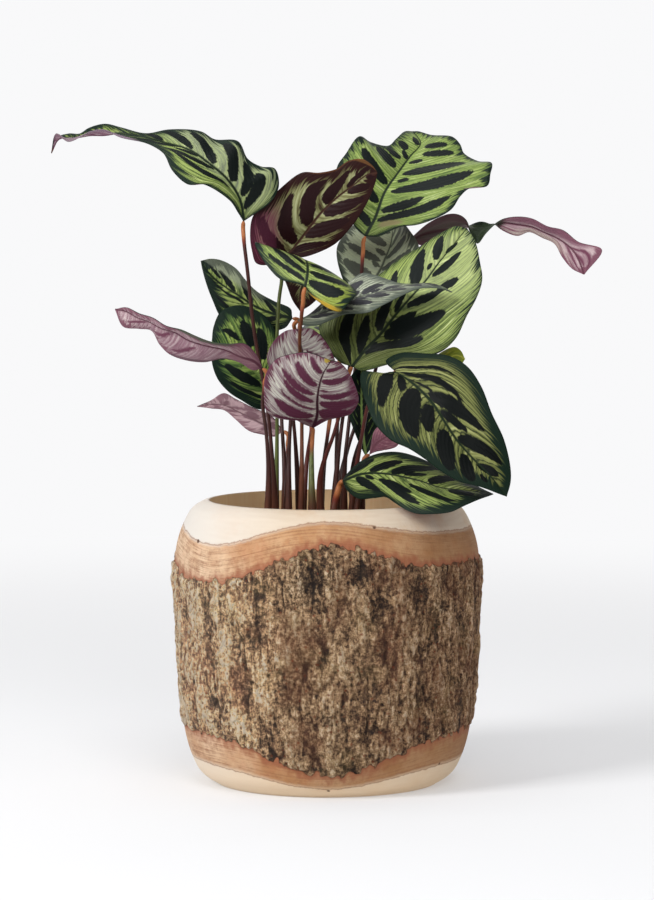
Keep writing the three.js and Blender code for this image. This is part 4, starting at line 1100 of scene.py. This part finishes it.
def leaf_finish(leaves, kind):
    """A leaf side, satin: streaked ground, veins 2 mm apart, blotches, feathered margin, midrib.

    The blade's own numbers, all in mm, give the place: the finish follows the veins for that.
    """
    name, tones, others, differences = LEAF_FINISHES[kind]
    own = {**LEAF_USUAL, **differences}
    tones, (blotch, margin, line, midrib) = (
        [linear(code) if code[0] == "#" else getattr(leaves, code) for code in codes]
        for codes in (tones, others))
    material, tree, shader = finish(name)
    vein, outside, from_margin, from_midrib, along = (
        node(tree, "Attribute", attribute_name=key).outputs["Fac"]
        for key in ("vein", "blotch", "from_margin", "from_midrib", "along"))
    tint = node(tree, "Attribute", attribute_name="tint").outputs
    half = leaves.vein_spacing / MM / 2
    # Streaks run along the veins: 1.5 mm wide and some 20 mm long.
    slow = node(tree, "Math", {0: from_midrib, 1: 0.09}, operation="MULTIPLY")
    where = node(tree, "CombineXYZ", {0: vein, 1: slow})
    streak = node(tree, "TexNoise", dict(zip(NOISE, (where, 0.62, 3.0, 0.6))))
    flat = node(tree, "CombineXYZ", {0: vein, 1: from_midrib})
    wobble = node(tree, "TexNoise", dict(zip(NOISE, (flat, 0.7, 3.0))))
    astray = node(tree, "Math", {0: wobble, 1: 1.6, 2: vein}, operation="MULTIPLY_ADD")
    beside = node(tree, "Math", {0: astray, 1: half}, operation="PINGPONG")
    off = node(tree, "Math", {0: wobble, 1: 2.4, 2: -1.2 - own["swell"]},
               operation="MULTIPLY_ADD")
    blot = node(tree, "Math", {0: outside, 1: off}, operation="ADD")
    reach = node(tree, "Math", {0: streak, 1: 22.0, 2: own["band"] - 11.0},
                 operation="MULTIPLY_ADD")
    in_band = node(tree, "Math", {0: from_margin, 1: reach}, operation="SUBTRACT")
    taper = node(tree, "Math", {0: along, 1: -0.5, 2: 0.9}, operation="MULTIPLY_ADD")
    off_rib = node(tree, "Math", {0: from_midrib, 1: taper}, operation="SUBTRACT")
    base = node(tree, "ValToRGB", {0: streak})
    grade(base.color_ramp, list(zip(TONE_PLACES, tones)))
    side = coats(tree, base, [
        ((beside, 0.04, 0.42, own["lines"], 0.0), line),
        (tint["Alpha"], tint["Color"]),
        ((in_band, -0.8, 1.4, 1.0, 0.0), margin),
        ((blot, -own["soft"], own["soft"], 1.0, 0.0), blotch),
        ((off_rib, -0.3, 0.5, 1.0, 0.0), midrib),
    ], **SMOOTH)
    # A strong spot of colour also reaches over the blotches and the margin.
    whole = coats(tree, side, [((tint["Alpha"], 0.5, 1.0), tint["Color"])])
    # The blade swells a little between the fine veins.
    rise = node(tree, "MapRange", {"Value": beside, "From Max": half}, **SMOOTH)
    grain = node(tree, "Math", {0: wobble, 1: 1.2, 2: rise}, operation="MULTIPLY_ADD")
    bump = node(tree, "Bump", {"Height": grain, "Strength": 0.6, "Distance": 0.1 * MM})
    feed(shader, {"Base Color": whole, "Roughness": own["rough"], "IOR": 1.4,
                  "Specular IOR Level": own["gloss"], "Normal": bump})
    return material


def stalk_finish(leaves, kind):
    """A stalk, satin with fibres of 1 mm: brown sheath, tinted middle and warm knuckle on top."""
    material, tree, shader = finish(f"Leaf stalk, {kind} and satin")
    middle = {"dark": leaves.stalk, "green": "#6F7D3C", "red": "#6E2C22",
              "orange": "#84482A"}[kind]
    top, low = (node(tree, "Attribute", attribute_name=key).outputs["Fac"]
                for key in ("to_blade", "from_soil"))
    spot = node(tree, "TexCoord").outputs["Object"]
    squeeze = node(tree, "Mapping", {0: spot, "Scale": (900, 900, 60)})
    fibre = node(tree, "TexNoise", dict(zip(NOISE, (squeeze, 1.0, 3.0))))
    papery = coats(tree, "#6E3E2C", [(fibre, "#1C0F0D")])
    knuckle = coats(tree, leaves.knuckle, [((top, 9.0, 13.0), "#8C3426")])
    streaked = coats(tree, middle, [(fibre, "#1E0D0B")])
    whole = coats(tree, streaked, [
        ((low, 18.0, 40.0, 1.0, 0.0), papery),
        ((top, 8.0, 17.0, 1.0, 0.0), knuckle),
    ], **SMOOTH)
    bump = node(tree, "Bump", {"Height": fibre, "Strength": 0.4, "Distance": 0.1 * MM})
    feed(shader, {"Base Color": whole, "Roughness": 0.42, "Specular IOR Level": 0.3,
                  "Normal": bump})
    return material


def soil_finish(pot, name, lightness):
    """Damp potting soil: dark brown crumbs of 1 to 4 mm, dull all over."""
    material, tree, shader = finish(name)
    spot = node(tree, "TexCoord").outputs["Object"]
    lumps = node(tree, "TexNoise", dict(zip(NOISE, (spot, 420.0, 5.0, 0.65))))
    dark, pale = ((*(c * lightness * share for c in pot.soil[:3]), 1) for share in (0.35, 1.5))
    whole = coats(tree, dark, [((lumps, 0.35, 0.65), pale)])
    bump = node(tree, "Bump", {"Height": lumps, "Strength": 0.8, "Distance": 0.8 * MM})
    feed(shader, {"Base Color": whole, "Roughness": 0.95, "Normal": bump})
    return material


# Blackened spots of the bark, each with its place and its reach in mm.
CHARRED = [((-8, -78, 112), 17), ((17, -77, 117), 10), ((-59, -55, 67), 7), ((0, -80, 42), 6),
           ((58, -56, 97), 7), ((40, 68, 80), 14)]
BARK_TONES = [(0.1, "#3B2F29"), (0.35, "#7A5D46"), (0.55, "#B08C68"), (0.78, "#DCB78C")]


def log_finish(pot):
    """Turned log, bare and dull: cream sapwood, a tan inner bark and rough grey-brown bark."""
    material, tree, shader = finish("Turned log with its bark, bare wood")
    into_bark, into_cream, hollow, relief = (
        node(tree, "Attribute", attribute_name=key).outputs["Fac"]
        for key in ("into_bark", "into_cream", "hollow", "relief"))
    spot = node(tree, "TexCoord").outputs["Object"]
    x, _, z = node(tree, "SeparateXYZ", {0: spot}).outputs
    # The place, drawn out along the log or round it.
    upright, level, swept, stretched, squat = (
        node(tree, "Mapping", {0: spot, "Scale": scale})
        for scale in ((800, 800, 60), (60, 60, 700), (45, 45, 20), (1, 1, 0.3), (1, 1, 0.5)))
    ragged, grain, cloud, rings, flush, ridges, grit, patch = (
        node(tree, "TexNoise", dict(zip(NOISE, row))) for row in (
            (spot, 240.0, 6.0, 0.75),  # tears of 4 mm and finer ones
            (upright, 1.0, 4.0, 0.6),  # fine upright grain, 1 mm wide
            (spot, 50.0, 4.0, 0.6),  # clouds of 20 mm
            (level, 1.0, 3.0),  # growth rings, 1.5 mm high
            (spot, 110.0, 5.0, 0.7),  # flushes of 9 mm
            (stretched, 330.0, 5.0, 0.7, 0.8),  # upright ridges, 3 mm wide
            (spot, 520.0, 4.0, 0.75),  # grit of 2 mm
            (spot, 38.0, 4.0, 0.6),  # rusty patches of 26 mm
        ))
    # The edges of the zones are ragged.
    tears = node(tree, "Math", {0: ragged, 1: 3.0, 2: -1.5}, operation="MULTIPLY_ADD")
    bark_edge = node(tree, "Math", {0: into_bark, 1: tears}, operation="ADD")
    cream_edge = node(tree, "Math", {0: into_cream, 1: tears}, operation="ADD")
    is_bark, near_bark, is_cream = (
        node(tree, "MapRange", dict(zip(RANGE, spread)), **SMOOTH)
        for spread in ((bark_edge, -0.3, 0.3), (bark_edge, -6.0, -0.3, 0.0, 0.8),
                       (cream_edge, -2.0, 1.0)))
    # A thin brown line runs along the edge of the sapwood, with small dark knots of 1 to 2 mm.
    off_line = node(tree, "Math", {0: cream_edge}, operation="ABSOLUTE")
    knots = node(tree, "TexVoronoi", {"Vector": spot, "Scale": 105.0})
    near_line = node(tree, "Math", {0: off_line, 1: 0.045, 2: knots}, operation="MULTIPLY_ADD")
    # Sapwood: cream with warm clouds. It is painted paler on the left side as painted light from the lamp
    # on that side, and paler and warmer at the foot as painted warm light there.
    painted_lit_side = node(tree, "MapRange", dict(zip(RANGE, (x, -20 * MM, -76 * MM, 0.0, 0.95))))
    sapwood = coats(tree, "#D4C6B3", [
        (rings, pot.sapwood),
        ((cloud, 0.48, 0.8, 0.0, 0.75), "#C8A682"),
        (painted_lit_side, "#D8D3CC"),
        # Painted warm light: the sapwood is paler and warmer towards the foot.
        ((z, 30 * MM, 4 * MM, 0.0, 0.6), "#F2D6B2"),
    ])
    # Inner bark: tan with red flushes, and dark fibres that follow the edge of the sapwood. It is painted
    # paler on the left side as painted light, and darker towards the right as painted shade.
    painted_lit_inner = node(tree, "Math", {0: painted_lit_side, 1: cloud}, operation="MULTIPLY")
    layered = node(tree, "CombineXYZ", {0: into_cream})
    follow = node(tree, "VectorMath", {0: swept, 1: layered}, operation="ADD")
    layers = node(tree, "TexNoise", dict(zip(NOISE, (follow, 1.3, 4.0, 0.75))))
    fibre = node(tree, "Math", {0: ragged, 1: 0.7, 2: layers}, operation="MULTIPLY_ADD")
    inner = coats(tree, pot.inner_bark, [
        ((cloud, 0.35, 0.65), "#C69E76"),
        ((flush, 0.5, 0.66, 0.0, 0.45), "#B4744C"),
        (painted_lit_inner, "#EBD6BC"),
        ((fibre, 0.78, 1.02, 0.0, 0.75), "#8A5C40"),
        # Painted shade: the band darkens towards the right, the side turned from the light.
        ((x, -45 * MM, 70 * MM, 0.0, 0.62), "#8C6848"),
        (near_bark, "#90543C"),
    ])
    # Bark: tones from ridges and grit, with plates of 5 mm and their cracks. The tones also follow the
    # relief, darker low and paler high, with painted highlights on the highest places.
    bent = node(tree, "VectorMath", {0: grit.outputs["Color"], 1: (0.003,) * 3, 2: squat},
                operation="MULTIPLY_ADD")
    plates = node(tree, "TexVoronoi", {"Vector": bent, "Scale": 190.0},
                  feature="DISTANCE_TO_EDGE")
    mixed = node(tree, "Math", {0: grit, 1: 1.3, 2: ridges}, operation="MULTIPLY_ADD")
    raised = node(tree, "Math", {0: relief, 1: 0.13, 2: mixed}, operation="MULTIPLY_ADD")
    depth = node(tree, "MapRange", {"Value": raised, "From Min": 0.85, "From Max": 1.45})
    tone = node(tree, "ValToRGB", {0: depth})
    grade(tone.color_ramp, [(place_at, linear(code)) for place_at, code in BARK_TONES])
    bark = coats(tree, tone, [
        ((raised, 1.3, 1.42), "#F4DAB8"),
        ((cloud, 0.54, 0.64, 0.0, 0.16), "#A08C58"),
        ((patch, 0.5, 0.4, 0.0, 0.36), "#86543C"),
    ])
    for centre, reach in CHARRED:
        away = node(tree, "VectorMath", {0: spot, 1: [v * MM for v in centre]},
                    operation="DISTANCE")
        share = node(tree, "Math", {0: away, 1: 0.45 / (reach * MM), 2: mixed},
                     operation="MULTIPLY_ADD")
        bark = coats(tree, bark, [((share, 1.15, 1.6, 0.7, 0.0), "#26221F")], **SMOOTH)
    # The bark gets painted light on the left side: brightened there, most on its high places, held under a
    # pale cap, and washed paler.
    lifted = node(tree, "Math", {0: painted_lit_side, 1: depth}, operation="MULTIPLY")
    painted_light_wash = node(tree, "Math", {0: painted_lit_side, 1: 0.15}, operation="MULTIPLY")
    specks = node(tree, "TexVoronoi", {"Vector": spot, "Scale": 230.0})
    bark = coats(tree, bark, [
        (lifted, (4.4, 4.3, 4.2, 1), "MULTIPLY"),
        (1.0, "#F6E2C8", "DARKEN"),
        (painted_light_wash, "#E2CCB6"),
        # Redder and darker to the right: partly the bark's own redder tone, partly painted shade.
        ((x, 5 * MM, 70 * MM, 0.0, 0.2), "#D8A488", "MULTIPLY"),
        ((specks, 0.1, 0.2, 0.7, 0.0), "#8E4A30"),
        ((plates, 0.01, 0.07, 0.25, 0.0), "#2A1B16"),
        # Painted shade in the deep furrows of the relief.
        ((relief, -1.6, -0.6, 0.45, 0.0), "#2E1E18"),
    ])
    # The wall of the bore is painted much paler than the wood: painted light where little lamp light
    # reaches into the hollow.
    wall = coats(tree, "#FFE2B4", [(grain, "#F4C48C")])
    whole = coats(tree, inner, [
        (is_cream, sapwood),
        ((off_line, 0.1, 0.5, 0.6, 0.0), "#7E5236"),
        ((near_line, 0.12, 0.17, 0.9, 0.0), "#4A2C1E"),
        (is_bark, bark),
        (hollow, wall),
    ])
    plate = node(tree, "MapRange", dict(zip(RANGE, (plates, 0.0, 0.15, 0.0, 0.3))))
    height = node(tree, "Math", {0: mixed, 1: plate}, operation="ADD")
    coarse = node(tree, "Math", {0: height, 1: is_bark}, operation="MULTIPLY")
    lift = node(tree, "Math", {0: grain, 1: 0.05, 2: coarse}, operation="MULTIPLY_ADD")
    bump = node(tree, "Bump", {"Height": lift, "Strength": 1.0, "Distance": 3.6 * MM})
    feed(shader, {"Base Color": whole, "Roughness": 0.8, "Specular IOR Level": 0.2,
                  "Normal": bump})
    return material


# ---------------------------------------------------------------- stage


class CALATHEA_OT_stage(bpy.types.Operator):
    """Set up the plain floor, the soft lights and the camera"""

    bl_idname = "calathea.stage"
    bl_label = "Stage"

    def execute(self, context):
        stage = context.scene.calathea_stage
        floor = fresh(bpy.ops.mesh.primitive_plane_add, "studio_floor", size=8)
        bpy.ops.object.mode_set(mode="EDIT")
        bpy.ops.mesh.select_mode(type="EDGE")
        bpy.ops.mesh.select_all(action="DESELECT")
        bpy.ops.object.mode_set(mode="OBJECT")
        for edge in floor.data.edges:
            edge.select = all(floor.data.vertices[v].co.y > 3.9 for v in edge.vertices)
        bpy.ops.object.mode_set(mode="EDIT")
        bpy.ops.mesh.extrude_region_move(TRANSFORM_OT_translate={"value": (0, 0, 5)})
        bpy.ops.object.mode_set(mode="OBJECT")
        cove = floor.modifiers.new("Cove", "BEVEL")
        cove.width, cove.segments, cove.limit_method = 1.5, 24, "ANGLE"
        bpy.ops.object.modifier_apply(modifier=cove.name)
        bpy.ops.object.shade_smooth()
        material, tree, shader = finish("Plain matt paper")
        # The paper glows evenly further off, so that it stays as pale as it is by the pot.
        where = node(tree, "TexCoord").outputs["Object"]
        away = node(tree, "VectorMath", {0: where}, operation="LENGTH")
        far = node(tree, "MapRange", {"Value": away, "From Min": 0.4, "From Max": 1.3}, **SMOOTH)
        base = coats(tree, stage.paper, [(far, (0, 0, 0, 1))])
        glow = node(tree, "MapRange", {"Value": far, "To Min": stage.glow, "To Max": 0.955})
        feed(shader, {"Base Color": base, "Emission Strength": glow, "Emission Color": "#FEFEFF",
                      "Roughness": 1.0, "Specular IOR Level": 0.0})
        floor.data.materials.append(material)
        middle = Vector((0, 0, 0.18))
        lights = [
            ("Window light", (-1.6, -1.3, 1.5), 0.8, 45.0),
            ("Fill light", (0.5, -2.2, 1.7), 1.2, 24.0),
            ("Overhead light", (0.0, -0.2, 2.3), 1.6, 20.0),
        ]
        for name, spot, size, power in lights:
            bpy.ops.object.light_add(type="AREA", location=spot)
            lamp = context.object
            lamp.name = lamp.data.name = name
            lamp.data.shape, lamp.data.size, lamp.data.energy = "SQUARE", size, power
            lamp.rotation_euler = (middle - Vector(spot)).to_track_quat("-Z", "Y").to_euler()
        world = bpy.data.worlds.new("Soft daylight")
        world.use_nodes = True
        world.node_tree.nodes["Background"].inputs[0].default_value = linear("#F4F6FA")
        world.node_tree.nodes["Background"].inputs[1].default_value = 0.2
        context.scene.world = world
        spot = (0, -stage.camera_distance, stage.camera_height)
        turn = (math.radians(90) - stage.tilt, 0, 0)
        bpy.ops.object.camera_add(location=spot, rotation=turn)
        camera = context.object
        camera.name = "Camera"
        camera.data.lens, camera.data.sensor_width = stage.lens, 36
        camera.data.clip_start, camera.data.clip_end = 0.05, 50
        context.scene.camera = camera
        context.scene.view_settings.view_transform = "Standard"
        return {"FINISHED"}


# ---------------------------------------------------------------- panel and start


class CALATHEA_PT_panel(bpy.types.Panel):
    """Shows the settings, and a button for each step that makes the pieces"""

    bl_label = "Potted calathea"
    bl_idname = "CALATHEA_PT_panel"
    bl_space_type = "VIEW_3D"
    bl_region_type = "UI"
    bl_category = "Calathea"

    def draw(self, context):
        for group in (context.scene.calathea_pot, context.scene.calathea_leaves,
                      context.scene.calathea_stage):
            for name in group.__annotations__:
                self.layout.prop(group, name)
        for operator in OPERATORS:
            self.layout.operator(operator.bl_idname)


OPERATORS = (CALATHEA_OT_stage, CALATHEA_OT_pot, CALATHEA_OT_soil, CALATHEA_OT_blades,
             CALATHEA_OT_stalks)
GROUPS = {"calathea_pot": CALATHEA_PG_pot, "calathea_leaves": CALATHEA_PG_leaves,
          "calathea_stage": CALATHEA_PG_stage}


def register():
    for part in (*GROUPS.values(), *OPERATORS, CALATHEA_PT_panel):
        bpy.utils.register_class(part)
    for name, group in GROUPS.items():
        setattr(bpy.types.Scene, name, PointerProperty(type=group))


def unregister():
    for name in GROUPS:
        delattr(bpy.types.Scene, name)
    for part in reversed((*GROUPS.values(), *OPERATORS, CALATHEA_PT_panel)):
        bpy.utils.unregister_class(part)


def main():
    """Make every piece in order."""
    register()
    bpy.ops.calathea.stage()
    bpy.ops.calathea.pot()
    bpy.ops.calathea.soil()
    bpy.ops.calathea.blades()
    bpy.ops.calathea.stalks()


if __name__ == "__main__":
    main()
